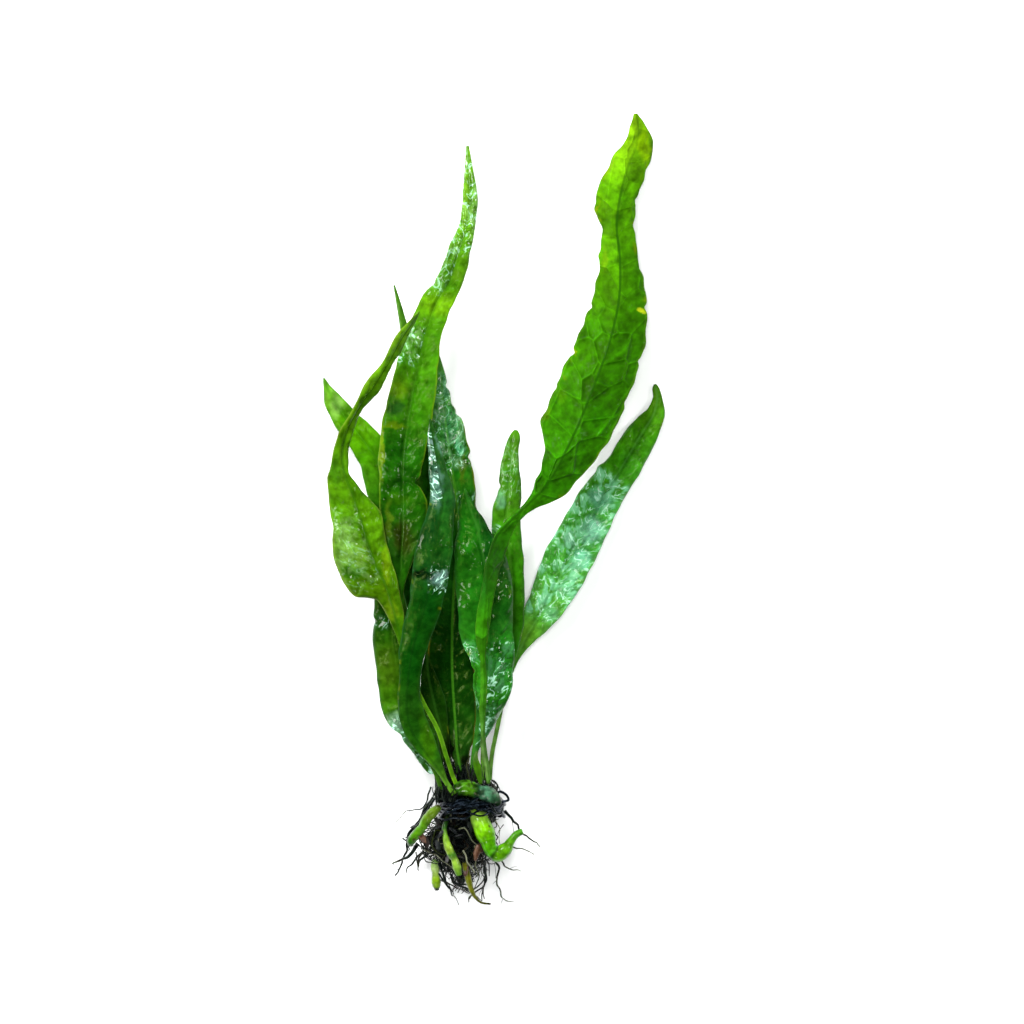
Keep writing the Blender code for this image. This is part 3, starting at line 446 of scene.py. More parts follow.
            (-44.2, 30, 1.9, 3, 2.3), (-46, 33.2, 1.2, 1.3, 1.3), (-47, 36, 0.7, 0.3, 0.3),
        ],
    },
    "centre_back": {
        "slot": "leaf_dark", "fold": 6, "ruffle": 0.6, "phase": 0.3, "cell": (5, 3.6), "wrinkle": 0.55,
        "gloss": (0.2, 0.34), "coat": 0.9, "rib": "#4C9A20", "ribShare": 0.6, "margin": "#8A8A18",
        "right": "#0C3A06", "rightShare": 0.15, "deep": "#0A3A02", "milk": ("#A4D8A0", 0.75), "edge": 0.6,
        "nick": 0.3, "thread": 0.25,
        # the two near-black patches at the foot are painted shade in the hollows between the stalks; the mint
        # and teal ones are painted highlights
        "patches": [
            (-12.1, 23.2, 2.8, 6.1, "#5CA878", 0.35), (-13.5, 34, 1.7, 4.4, "#5C9A8A", 0.35),
            (-10.7, 7.8, 3.3, 5.5, "#126A08", 0.6), (-8.8, 13.3, 1.1, 8.2, "#5A6A14", 0.5),
            (-14.9, 10.6, 1.7, 8.2, "#0A3C14", 0.7), (-12.1, -67, 0.8, 6.6, "#040803", 0.95),
            (-7.4, -70.5, 1.4, 4.4, "#040803", 0.95), (-9.5, 17, 1.6, 3.2, "#6ACC9A", 0.5),
        ],
        "colours": [
            (-76, "#4A7D2F"), (-70, "#2B5A18"), (-60, "#164A08"), (-44, "#0A3804"), (-33, "#0A3A06"),
            (-20, "#1C6010"), (-6, "#1E6A0C"), (10, "#2C7A12"), (22, "#3C8830"), (36, "#56A038"),
            (44, "#5A9848"),
        ],
        "rows": [
            (-9, -74.9, 14.8, 1, 1.4), (-9.3, -72.5, 14.6, 1.2, 2.2), (-9.6, -70, 14.3, 1.3, 3),
            (-10.2, -66, 13.8, 2.8, 4), (-10.5, -61, 13.2, 4, 5.6), (-11, -54, 12.6, 5.6, 6.3),
            (-11.5, -44.5, 12.4, 6.6, 6.3), (-11.5, -33.5, 12.2, 6.2, 6.6), (-11, -21, 12.4, 5.6, 6.1),
            (-10, -8.5, 12.6, 4.7, 5.5), (-10, 1, 12.6, 4.4, 5.1), (-11.5, 10.5, 12.4, 4.4, 5.8, 2),
            (-13, 21.5, 11.8, 4.6, 5.3, 4), (-14, 29.5, 11, 3.8, 2.4, 4), (-14.5, 35.5, 10.4, 1.9, 1.6, 3),
            (-15.5, 41, 9.6, 1, 1), (-16, 44, 9, 0.3, 0.3),
        ],
    },
    "short_right": {
        "fold": -6, "wave": 15, "phase": 1.7, "pucker": 0.12, "cell": (4, 3), "wrinkle": 0.7,
        "gloss": (0.24, 0.4), "rib": "#5CA030", "margin": "#88BB70", "right": "#2A7010", "deep": "#2A7A00",
        "net": 0.12, "milk": ("#A8E0A0", 0.8), "thread": 0.6,
        # the pale mint patch is a painted highlight
        "patches": [
            (4.1, 10.9, 2.2, 6.6, "#3C8C14", 0.5), (1.7, 2.3, 1.7, 3.3, "#8AD8A0", 0.5),
            (5, 16.6, 1.9, 2.2, "#5A9A1C", 0.5),
        ],
        "colours": [
            (-76, "#6F9C3A"), (-40, "#2A8016"), (-30, "#286A06"), (-18, "#388E0A"), (-6, "#3C900E"),
            (5, "#56981A"), (14, "#5C9A18"), (22, "#4A9010"),
        ],
        "rows": [
            (-3, -74.8, 14.6), (-3, -66, 14.4), (-2, -59, 14.2), (3.2, -47, 14.2, 0.8, 0.8),
            (4.5, -39.5, 14.2, 1.9, 2.1), (5, -30.5, 14.4, 3.3, 3.4), (5, -19.5, 14.6, 3.4, 3.4),
            (4, -10, 14.6, 4.3, 3.8, -4), (3.5, -2, 14.6, 4.1, 3.7, -6), (4, 5, 14.4, 3, 3.8, -4),
            (4.5, 12, 14, 2.8, 2.6), (5.2, 17, 13.5, 2.2, 1.9), (5.7, 19.2, 13.1, 1.9, 1.7),
            (5.9, 20.7, 12.9, 1.3, 1.3), (6, 21.6, 12.8, 0.5, 0.5),
        ],
    },
    "outer_right": {
        "fold": 6, "ruffle": 0.8, "wave": 17, "phase": 2.6, "pucker": 0.35, "wrinkle": 0.9,
        "gloss": (0.22, 0.36), "coat": 0.6, "rib": "#6FB45A", "ribShare": 0.2, "margin": "#A8D88A",
        "right": "#3A8A20", "deep": "#3A9A14", "blotch": 0.4, "milk": ("#9CF4B4", 2), "thread": 0.45,
        "crease": 0.3,
        # the pale mint patches are painted milky highlights
        "patches": [
            (9.4, -34.2, 3.3, 3.9, "#6CB420", 0.6), (29.2, 2.3, 3.6, 3.9, "#7CD0A0", 0.85),
            (27, -5.9, 3.6, 4.4, "#9AE8C0", 0.85), (21, -8.7, 2.5, 3, "#A8F0C8", 0.7),
            (24.2, -14.2, 3.3, 3.9, "#8AE0B8", 0.75), (19.8, -22.4, 3.9, 3, "#7CD09C", 0.5),
            (15.1, -29, 2.8, 2.8, "#8ADCA8", 0.45), (17.1, -16.4, 1.7, 2.8, "#2C8A0C", 0.5),
            (34.7, 13.3, 3.3, 3.9, "#3A960A", 0.5), (41.5, 21.6, 2.8, 4.4, "#347E0A", 0.4),
        ],
        "colours": [
            (-76, "#86BC4E"), (-44, "#4A8A24"), (-35, "#6CC038"), (-26, "#6CC648"), (-12, "#58C044"),
            (0, "#50B840"), (6, "#4AA424"), (12, "#44A010"), (22, "#50A40C"), (34, "#4E8A12"),
        ],
        "rows": [
            (-1.2, -74.8, 10.6), (-0.6, -68, 10.2), (1.1, -59.5, 9.4), (3, -50.5, 8.4),
            (5.6, -42.5, 7.6, 1, 0.9), (9.3, -34.8, 6.8, 3.4, 2.9, 4), (13.6, -27.8, 5.8, 5, 5.2, 5),
            (20.7, -13.6, 4.4, 6.6, 6.8, 4), (28.2, 0.4, 3, 6.2, 6, 3), (30.8, 5, 2.7, 5.6, 5.6, 3),
            (34.2, 9.8, 2.3, 4.6, 5.2, 3), (40.2, 19.8, 1.6, 4.2, 4.6, 2), (44.5, 27.5, 1.1, 2.1, 2.9),
            (45, 31, 0.9, 1.3, 1.5), (44.6, 33.2, 0.8, 1.1, 1.1), (44.4, 34.3, 0.7, 0.4, 0.4),
        ],
    },
    "dark_centre": {
        "slot": "leaf_dark", "fold": -10, "ruffle": 0.4, "wave": 18, "phase": 0.9, "pucker": 0.08,
        "cell": (5, 3), "wrinkle": 0.3, "gloss": (0.2, 0.34), "coat": 0.9, "rib": "#0C3A0A",
        "ribShare": 0.4, "margin": "#3F8A4A", "right": "#0A3C0A", "deep": "#0C4404", "net": 0.08,
        "milk": ("#C0DCDC", 0.9), "thread": 0.9,
        # the pale blue-grey patches are painted highlights, and the near-black band at the crease is painted
        # shade
        "patches": [
            (-16, 6.2, 1.7, 6.6, "#8FB8B8", 0.3), (-14.9, 18.8, 1.2, 4, "#8CC8B0", 0.5),
            (-19.2, -5.1, 4.4, 7.2, "#0A3E16", 0.7), (-15.4, -19.1, 2.5, 2.2, "#B0D8D4", 0.5),
            (-18.2, -26, 3.3, 5.5, "#06480A", 0.7), (-22.6, -40.3, 2.8, 9.4, "#084A08", 0.7),
            (-19.8, -18.3, 3.3, 1.1, "#021A06", 0.9), (-13.2, -3.2, 1.4, 11, "#2A7A20", 0.4),
            (-17.6, -64.2, 2.5, 7.2, "#3F7C08", 0.8), (-19.2, -56.8, 1.9, 4.4, "#2F6A08", 0.6),
        ],
        "colours": [
            (-76, "#6CA82C"), (-68, "#2E7010"), (-54, "#1E540B"), (-46, "#134E07"), (-38, "#0D4C07"),
            (-25, "#104D0A"), (-18, "#16521C"), (-10, "#14500A"), (-3, "#175C1C"), (8, "#2C6430"),
            (24, "#2A6A22"),
        ],
        "rows": [
            (-10.9, -78.4, 20.9, 0.9, 0.9), (-12.9, -75.4, 20.4, 0.8, 0.8), (-15, -72, 21.2, 0.9, 1.8),
            (-19, -66.5, 22, 1.8, 4.2), (-22.5, -61, 22.6, 2.2, 5.2), (-24, -54, 23, 2.4, 4.4),
            (-23.5, -47, 23.4, 2.5, 3.4), (-22.5, -39.5, 23.8, 3.6, 3.7), (-20.5, -32, 24, 4.4, 4.4, 2),
            (-18.5, -25, 24.2, 4.7, 4.7, 3), (-18, -21.5, 24.6, 5, 5, 3),
            (-17.5, -18.5, 24.9, 5.1, 5.1, 2), (-16.5, -12, 24, 5.1, 5.1), (-15, -3.5, 23, 4, 4.1, -3),
            (-14, 2.5, 22.4, 3.6, 3.6, -3), (-15, 8, 22, 3, 2.9), (-16, 14.5, 21.4, 2.2, 2.2),
            (-17, 20, 20.8, 1.4, 1.4), (-17.5, 24.5, 20.4, 0.3, 0.3),
        ],
    },
    "low_left": {
        "slot": "leaf_olive", "fold": -6, "ruffle": 0.6, "phase": 1.4, "pucker": 0.1, "wrinkle": 0.7,
        "gloss": (0.22, 0.38), "coat": 0.8, "rib": "#3A6A10", "margin": "#7FB080", "right": "#174E06",
        "rightShare": 0.35, "deep": "#1D4F00", "milk": ("#90D08C", 0.9), "thread": 0.8,
        # the pale mint patch is a painted highlight
        "patches": [
            (-30.3, -30.1, 2.8, 5.5, "#0C4806", 0.8), (-29.2, -43.9, 3.3, 7.2, "#40680A", 0.7),
            (-27.5, -59.8, 3.9, 3.9, "#B8E0C0", 0.5), (-22.6, -67, 2.5, 3.3, "#2C6A0C", 0.6),
        ],
        "colours": [
            (-76, "#4C7A2C"), (-68, "#2C6C0C"), (-60, "#2C6A08"), (-52, "#3E7A08"), (-42, "#3D6C07"),
            (-36, "#2B6007"), (-28, "#306403"), (-20, "#448404"),
        ],
        "rows": [
            (-14.3, -74.9, 14.8, 0.6, 0.7), (-15, -72.5, 15.2, 0.8, 1.2),
            (-16.2, -71.2, 15.5, 2.6, 1.6, 2), (-17.3, -68.5, 15.8, 3.6, 2.8, 4),
            (-20.3, -63, 16.4, 4.1, 5, 6), (-25, -54, 16.8, 6, 5.5, 6), (-26.5, -44.5, 16.6, 5.8, 5.5, 6),
            (-28, -36, 16.4, 5.5, 5, 6), (-28, -28.5, 16.2, 5.1, 4.4, 5), (-28.5, -22.5, 16, 4.5, 3.6, 4),
            (-29, -15.5, 15.8, 2.5, 2.5), (-29, -10, 15.6, 0.3, 0.3),
        ],
    },
    "front_right": {
        "fold": -12, "ruffle": 0.8, "wave": 15, "phase": 0.2, "wrinkle": 0.55, "gloss": (0.2, 0.36),
        "coat": 0.9, "rib": "#4FA03A", "ribShare": 0.2, "margin": "#4F9A4A", "right": "#0C4A1A",
        "rightShare": 0.35, "deep": "#124E04", "milk": ("#8CDC9C", 0.5), "edge": 0.08, "thread": 0.5,
        # the two pale mint patches are painted milky highlights
        "patches": [
            (-7.2, -7, 3.9, 6.6, "#1E7E10", 0.6), (2.5, -13.1, 3.6, 7.2, "#24601C", 0.7),
            (6.3, -22.4, 1.4, 12.1, "#3E8A08", 0.7), (-4.4, -23.5, 3.3, 6.1, "#1E7C12", 0.5),
            (-10.7, -27.9, 1.9, 8.2, "#0C5010", 0.6), (1.7, -36.2, 3.3, 5.5, "#1A6A14", 0.5),
            (-6.6, -38.9, 3.3, 2.8, "#9ADCB8", 0.12), (0.3, -44.4, 4.4, 5, "#7AC8A0", 0.08),
        ],
        "colours": [
            (-76, "#4F8A24"), (-60, "#36842A"), (-50, "#3A9A1C"), (-42, "#349A14"), (-34, "#2A8418"),
            (-27, "#1E6C0E"), (-17, "#1C640E"), (-8, "#14580A"), (4, "#1A600C"),
        ],
        "rows": [
            (-6.2, -74.9, 15), (-5.5, -67, 16, 0.8, 1.3), (-4, -59.5, 17.6, 1.2, 4.2, -2),
            (-3, -54, 18.8, 2.2, 6, -4), (-2, -49.5, 19.6, 3.8, 7, -8), (-1.5, -42, 20.4, 5.1, 7.4, -10),
            (-1.5, -36, 20.8, 7.4, 7.2, -10), (-1.5, -28, 21, 8.5, 7.2, -10),
            (-2, -18.5, 20.8, 8.8, 7.4, -10), (-3.5, -11, 20.2, 7.7, 5.5, -8),
            (-4.5, -5.5, 19.6, 5.8, 3, -4), (-6.5, 0, 19, 3.6, 1.5), (-8, 5.5, 18.6, 0.3, 0.3),
        ],
    },
    "inner_left": {
        "slot": "leaf_dark", "ruffle": 0.4, "wave": 14, "phase": 0.5, "pucker": 0.08, "cell": (4, 3),
        "wrinkle": 0.25, "gloss": (0.2, 0.34), "rib": "#3F7A24", "margin": "#3F7A40", "right": "#0A3002",
        "rightShare": 0.5, "deep": "#082A02", "blotch": 0.4, "net": 0.08, "milk": ("#98DCB8", 0.3),
        # the near-black patch at the foot is painted shade in the hollow between the stalks
        "patches": [
            (-17.1, -49.9, 2.2, 8.2, "#0A3404", 0.6), (-12.1, -67, 1.4, 7.2, "#040803", 0.9),
        ],
        "colours": [
            (-76, "#2E5A0C"), (-64, "#3A6E12"), (-56, "#1E500A"), (-48, "#0A3602"), (-40, "#0A3402"),
        ],
        "rows": [
            (-11.9, -74.8, 14.6, 0.7, 0.8), (-12.7, -70, 14.8, 1.2, 1.1), (-14.5, -61, 15, 2.5, 2.3),
            (-16.5, -53, 15, 3.4, 3.3), (-18, -46, 14.8, 2.3, 2.3), (-18.5, -39.5, 14.6, 0.3, 0.3),
        ],
    },
    "young": {
        "slot": "leaf_lime", "fold": 20, "ruffle": 0, "wave": 14, "phase": 0, "pucker": 0, "cell": (4, 3),
        "wrinkle": 0.2, "coat": 0.6, "rib": "#2E5A0A", "margin": "#8CA860", "right": "#5A8A1A",
        "deep": "#2F6A04", "blotch": 0.3, "net": 0.08, "milk": ("#A8E0C0", 0.3),
        "colours": [
            (-76, "#3F7A10"), (-70, "#4A8410"), (-66, "#7FA860"),
        ],
        "rows": [
            (-3.6, -75.5, 20.4, 0.6, 0.6), (-4, -73.5, 21, 0.9, 0.9), (-4.5, -71, 21.6, 1.2, 1.2),
            (-5, -68.5, 22, 0.8, 0.8), (-4.7, -66.5, 22.3, 0.3, 0.3),
        ],
    },
}

# Crinkled, very glossy places: side (0 for both), low and high y, strength
crinkles = {
    "front_right": [(1, -58, -36, 0.85), (-1, -43, -36, 0.8), (-1, -56, -48, 0.6), (0, -30, -8, 0.3),
                    (1, -66, -56, 0.9)],
    "outer_right": [(0, -31, 9, 0.9), (0, 9, 22, 0.38)],
    "centre_back": [(0, 10, 38, 0.8), (1, -7, 5, 0.7)],
    "folded_left": [(-1, -20, 2, 0.6), (1, -24, 8, 0.25)],
    "low_left": [(-1, -34, -28, 0.6), (-1, -74, -56, 1)],
    "tall_left": [(-1, 57, 94, 0.6), (0, 70, 99, 0.75), (-1, 38, 50, 0.7), (-1, 2, 24, 0.35),
                  (1, 2, 20, 0.2), (0, -10, 2, 0.2)],
    "dark_centre": [(-1, 2, 22, 1), (0, -12, -8, 0.4), (1, -23, -16, 1)],
    "tall_right": [(0, -4, 50, 0.3)],
    "short_right": [(0, 2, 20, 0.5), (-1, -11, -4, 0.8)],
    "slender_back": [(0, 40, 60, 0.3)],
}

# Margins that curl up: side, low and high y, share of the half width, height
curls = {
    "low_left": [(-1, -74, -54, 0.3, 1)],
    "front_right": [(-1, -56, -40, 0.3, 1.1), (1, -50, -33, 0.3, 0.9)],
    "folded_left": [(1, -36, -12, 0.25, 0.8)],
    "outer_right": [(1, -30, 4, 0.2, 0.7)],
    "tall_left": [(1, 10, 60, 0.2, 0.6)],
    "centre_back": [(1, 12, 30, 0.35, 1)],
    "dark_centre": [(1, -20, -8, 0.3, 0.6)],
}

# Single nicks (or, below zero, lobes) in a margin: side, y, depth, spread
nicks = {
    "tall_right": [(-1, 81.8, -0.9, 1.3), (-1, 77.5, 0.7, 1.6), (-1, 70.5, -0.6, 1.3),
                   (-1, 54.6, 0.6, 0.8), (-1, 40.2, 0.9, 0.9), (-1, 30, 0.5, 1), (1, 86, 0.5, 1),
                   (1, 66, 0.4, 1.2), (1, 56.4, 0.7, 0.8), (1, 43.6, 0.6, 0.8), (1, 33, 0.7, 1.1)],
    "tall_left": [(1, 7.2, 1.4, 1), (-1, 60, 0.5, 1)],
    "centre_back": [(1, 33.5, 0.7, 0.8), (1, 25.5, 0.8, 0.9), (1, 13.5, 0.8, 0.9)],
    "short_right": [(-1, 6, 0.6, 0.9)],
    "outer_right": [(-1, 8.5, -0.8, 1.2)],
    "front_right": [(-1, -44.5, 0.8, 0.9)],
    "low_left": [(-1, -31, 0.5, 1), (-1, -60, 0.6, 1.2)],
}

# Sharp creases across a blade: side, y, depth
creases = {
    "dark_centre": [(0, -17.8, 1)],
    "tall_left": [(0, 6.4, 0.8), (1, 62, 0.5)],
    "folded_left": [(-1, -19, 0.7)],
    "front_right": [(1, -34, 0.6)],
}

# Noises of the leaf material: size, detail and distortion, first in space, then laid along the blade
leafNoises = {
    "cloud": (8, 4, 0.5), "swirl": (3.5, 3, 0), "mottle": (2.4, 5, 0), "ageing": (6, 3, 1),
    "film": (5, 2, 0), "grain": (0.8, 3, 0),
}
bladeNoises = {
    "crease": (2, 2, 1), "crest": (reliefSizes["Crinkle Size"], 2, 0.6), "thread": (3.8, 2, 0.9),
}

# Where each mask of the leaf material begins and is full
leafMasks = {
    "rumpled": (0.35, 0.85), "half": (0.47, 0.56), "blotch": (0.46, 0.64), "patch": (0.4, 1.2),
    "mottle": (0.3, 0.7), "crease": (0, 0.03), "rib": (0.018, 0.05), "margin": (0.45, 0.5),
    "nearMargin": (0.36, 0.49), "ageing": (0.62, 0.74), "crest": (0.42, 0.56), "film": (0.42, 0.58),
    "thread": (0, 0.042), "speck": (0.44, 0.56), "gloss": (0.35, 0.65), "coat": (0.12, 0.7),
}
leafLooks = {
    "stray": 5, "mottle": (0.6, 1.44), "lineWidth": 0.045, "cellTone": 0.5, "ageTone": "#9AA80C",
    "ageShare": 0.5, "milkShare": 0.46, "threadTone": "#D4FCE8", "threadGain": 0.9, "marginRough": 0.35,
    "driestCoat": 0.04, "ribFades": (0.06, 0.1), "ribEnd": 0.2,
    "netBump": 0.5, "lineBump": 5.0, "creaseBump": 8.0, "bump": 0.14, "bumpStrength": (0.6, 0.2),
    # fineness and share of the coarse net of veins and of the fine one
    "nets": ((1.0, 1.0), (0.34, 0.4)),
    "shader": {"IOR": 1.4, "Specular IOR Level": 0.18, "Specular Tint": linearColour("#C8F060"),
               "Coat Roughness": 0.06, "Coat IOR": 1.36, "Coat Tint": linearColour("#E8FFF4")},
}


def touching(table, name, side):
    # The entries that touch this half of the leaf, side 0 being both
    return [row[1:] for row in table.get(name, ()) if row[0] in (0, side)]


def leafSheet(name, spec):
    # The blade and stalk as one closed sheet, with what the relief and the material need to know
    size = leafSizes
    stalk, thickness = size["stalkHalfWidth"], size["bladeHalf"]
    rows = np.array([(*row, *size["stalkRow"][len(row) - 3:]) for row in spec["rows"]], dtype=float)
    knots = knotsOf(rows[:, :3])
    wide = rows[:, 3:5].max(axis=1)
    gaps = np.where(np.maximum(wide[:-1], wide[1:]) > stalk, size["step"], size["stalkStep"])
    places = placesBetween(knots, gaps)
    centre, side, normal = pathFrames(knots, rows[:, :3], places)
    shape = between(knots, rows[:, 3:], places, steady=True)
    roll = np.radians(shape[:, 2:3])
    across = side * np.cos(roll) + normal * np.sin(roll)
    upward = normal * np.cos(roll) - side * np.sin(roll)

    share = places / knots[-1]
    height = centre[:, 1]
    half = (shape[:, 0] + shape[:, 1]) / 2
    blade = np.clip((half - stalk) / (size["fullBladeHalfWidth"] - stalk), 0, 1)
    slim = size["stalkShare"] + (1 - size["stalkShare"]) * blade
    rib = (size["ribAtBase"] + (size["ribAtTip"] - size["ribAtBase"]) * share) * slim
    turn = 2 * math.pi * places / spec["wave"] + spec["phase"]
    shorter, shift = size["rightWaves"]
    waves = {-1: np.sin(turn), 1: np.sin(turn / shorter + shift)}
    fold = math.radians(spec["fold"])
    short, long, tiny = size["nickLengths"]

    inside, last = size["lastColumns"]
    inner = np.linspace(-inside, inside, 2 * max(3, round(half.max() / size["acrossStep"])) + 1)
    tops, bottoms, marks = [], [], []
    for a in np.concatenate([[-1, -last], inner, [last, 1]]):
        s = -1 if a < 0 else 1
        out = abs(a)
        width = shape[:, max(s, 0)] * slim
        nick = np.sin(places / short + spec["phase"] + s) * np.sin(places / long + s)
        nick = nick + size["tinyNick"] * np.sin(places / tiny + 2 * s)
        width = width + spec["nick"] * blade * nick * out**3
        for y, depth, spread in touching(nicks, name, s):
            width = width - depth * out**3 * np.exp(-((height - y) / spread) ** 2)
        reach = out * width
        rise = reach * math.sin(fold) * blade + spec["ruffle"] * a**2 * blade * waves[s]
        for low, high, part, lift in touching(curls, name, s):
            lip = ease((out - 1 + part) / part)
            rise = rise + lift * lip * blade * band(height, low, high, size["curlSoft"])
        for y, depth in touching(creases, name, s):
            bend = y + size["creaseWobble"] * np.sin(reach * size["wobbleRate"])
            rise = rise - depth * blade * np.exp(-np.abs(height - bend) / size["creaseWidth"])
        crinkle = np.full_like(places, size["leastCrinkle"])
        for low, high, strength in touching(crinkles, name, s):
            crinkle = np.maximum(crinkle, strength * band(height, low, high, size["crinkleSoft"]))
        thin = thickness * (1 - out**6)
        ridge = size["ribShare"] * (rib - thickness) * np.exp(-(reach / size["ribWidth"]) ** 2)
        deep = blade * (thin + ridge) + (1 - blade) * rib * math.sqrt(max(0.0, 1 - a * a))
        sideways = reach * (1 - (1 - math.cos(fold)) * blade) * s
        middle = centre + across * sideways[:, None] + upward * rise[:, None]
        top = middle + upward * deep[:, None]
        bottom = middle - upward * deep[:, None]
        onMargin = out == 1
        least = 2 * (size["marginHalf"] if onMargin else thickness)
        top[:, 2] = np.maximum(top[:, 2], least)
        bottom[:, 2] = np.maximum(bottom[:, 2], least if onMargin else 0.0)
        relief = blade * (1 - out**10) * (1 - np.exp(-(reach / size["ribFlat"]) ** 2))
        tops.append(top)
        bottoms.append(bottom)
        marks.append(np.stack([places - size["veinLean"] * reach, reach * s, share,
                               np.full_like(share, a / 2 + 0.5), relief, crinkle], axis=1))
    columns = np.stack(tops + bottoms[-2:0:-1], axis=1)
    marks = np.stack(marks + marks[-2:0:-1], axis=1)
    return columns, marks, np.repeat(upward[:, None, :], columns.shape[1], axis=1)


def leafMesh(name, spec):
    points, marks, lift = leafSheet(name, spec)
    mesh = ringMesh(name, points)
    count = points.shape[1]
    ends = np.empty(len(mesh.edges) * 2, dtype=int)
    mesh.edges.foreach_get("vertices", ends)
    column = ends.reshape(-1, 2) % count
    onMargin = np.isin(column[:, 0], [0, count // 2]) & (column[:, 0] == column[:, 1])
    mesh.attributes.new("sharp_edge", "BOOLEAN", "EDGE").data.foreach_set("value", onMargin)
    marks = marks.reshape(-1, 6)
    corners = np.empty(len(mesh.loops), dtype=int)
    mesh.loops.foreach_get("vertex_index", corners)
    for label, pair in (("veins", marks[:, 0:2] / 10), ("place", marks[:, 2:4])):
        layer = mesh.uv_layers.new(name=label)
        layer.data.foreach_set("uv", pair[corners].astype(np.float32).ravel())
    net = np.concatenate([marks[:, 0:2], np.zeros((len(marks), 1))], axis=1)
    pointValues(mesh, {"net": net, "lift": lift.reshape(-1, 3), "relief": marks[:, 4],
                       "crinkle": marks[:, 5]})
    return mesh


def reliefTree():
    # Cells between the side veins swell, and crinkles run over them where the blade is crumpled
    tree, add, given = newTree("leaf_relief", reliefSizes)
    named = {}
    for label, kind in (("net", "FLOAT_VECTOR"), ("lift", "FLOAT_VECTOR"), ("relief", "FLOAT"),
                        ("crinkle", "FLOAT")):
        named[label] = add("GeometryNodeInputNamedAttribute", {"data_type": kind}, {"Name": label})
    cell = add("CombineXYZ", None, [given["Cell Length"], given["Cell Width"], 1.0])
    spot = add("VectorMath", "DIVIDE", [named["net"], cell])
    spot = add("VectorMath", "ADD", [spot, add("CombineXYZ", None, {2: given["Seed"]})])
    edge = add("TexVoronoi", {"feature": "DISTANCE_TO_EDGE"}, {"Vector": spot, **cellGrid})
    dome = add("MapRange", smooth, {"Value": edge, "From Max": given["Vein Width"]})
    crumpled = add("Math", clampedSum, [named["crinkle"], *leafSizes["crumple"]])
    swell = add("Math", "MULTIPLY", [dome, given["Swell"]])
    total = add("Math", "MULTIPLY", [swell, crumpled])
    for label in ("Wrinkle", "Crinkle"):
        size = add("Math", "DIVIDE", [1.0, given[label + " Size"]])
        wave = add("TexNoise", None, {
            "Vector": named["net"], "Scale": size, "Detail": 2.0, "Distortion": 0.6})
        if label == "Crinkle":
            ridge = add("Math", "ABSOLUTE", [add("Math", "SUBTRACT", [wave, 0.5])])
            wave = add("Math", "MULTIPLY", [ridge, named["crinkle"]])
        total = add("Math", "ADD", [total, add("Math", "MULTIPLY", [wave, given[label + " Height"]])])
    total = add("Math", "MULTIPLY", [total, named["relief"]])
    offset = add("VectorMath", "SCALE", {0: named["lift"], "Scale": add("Math", "MULTIPLY", [total, mm])})
    moved = add("GeometryNodeSetPosition", None, {"Geometry": given["Geometry"], "Offset": offset})
    return endTree(tree, moved, given["Material"])


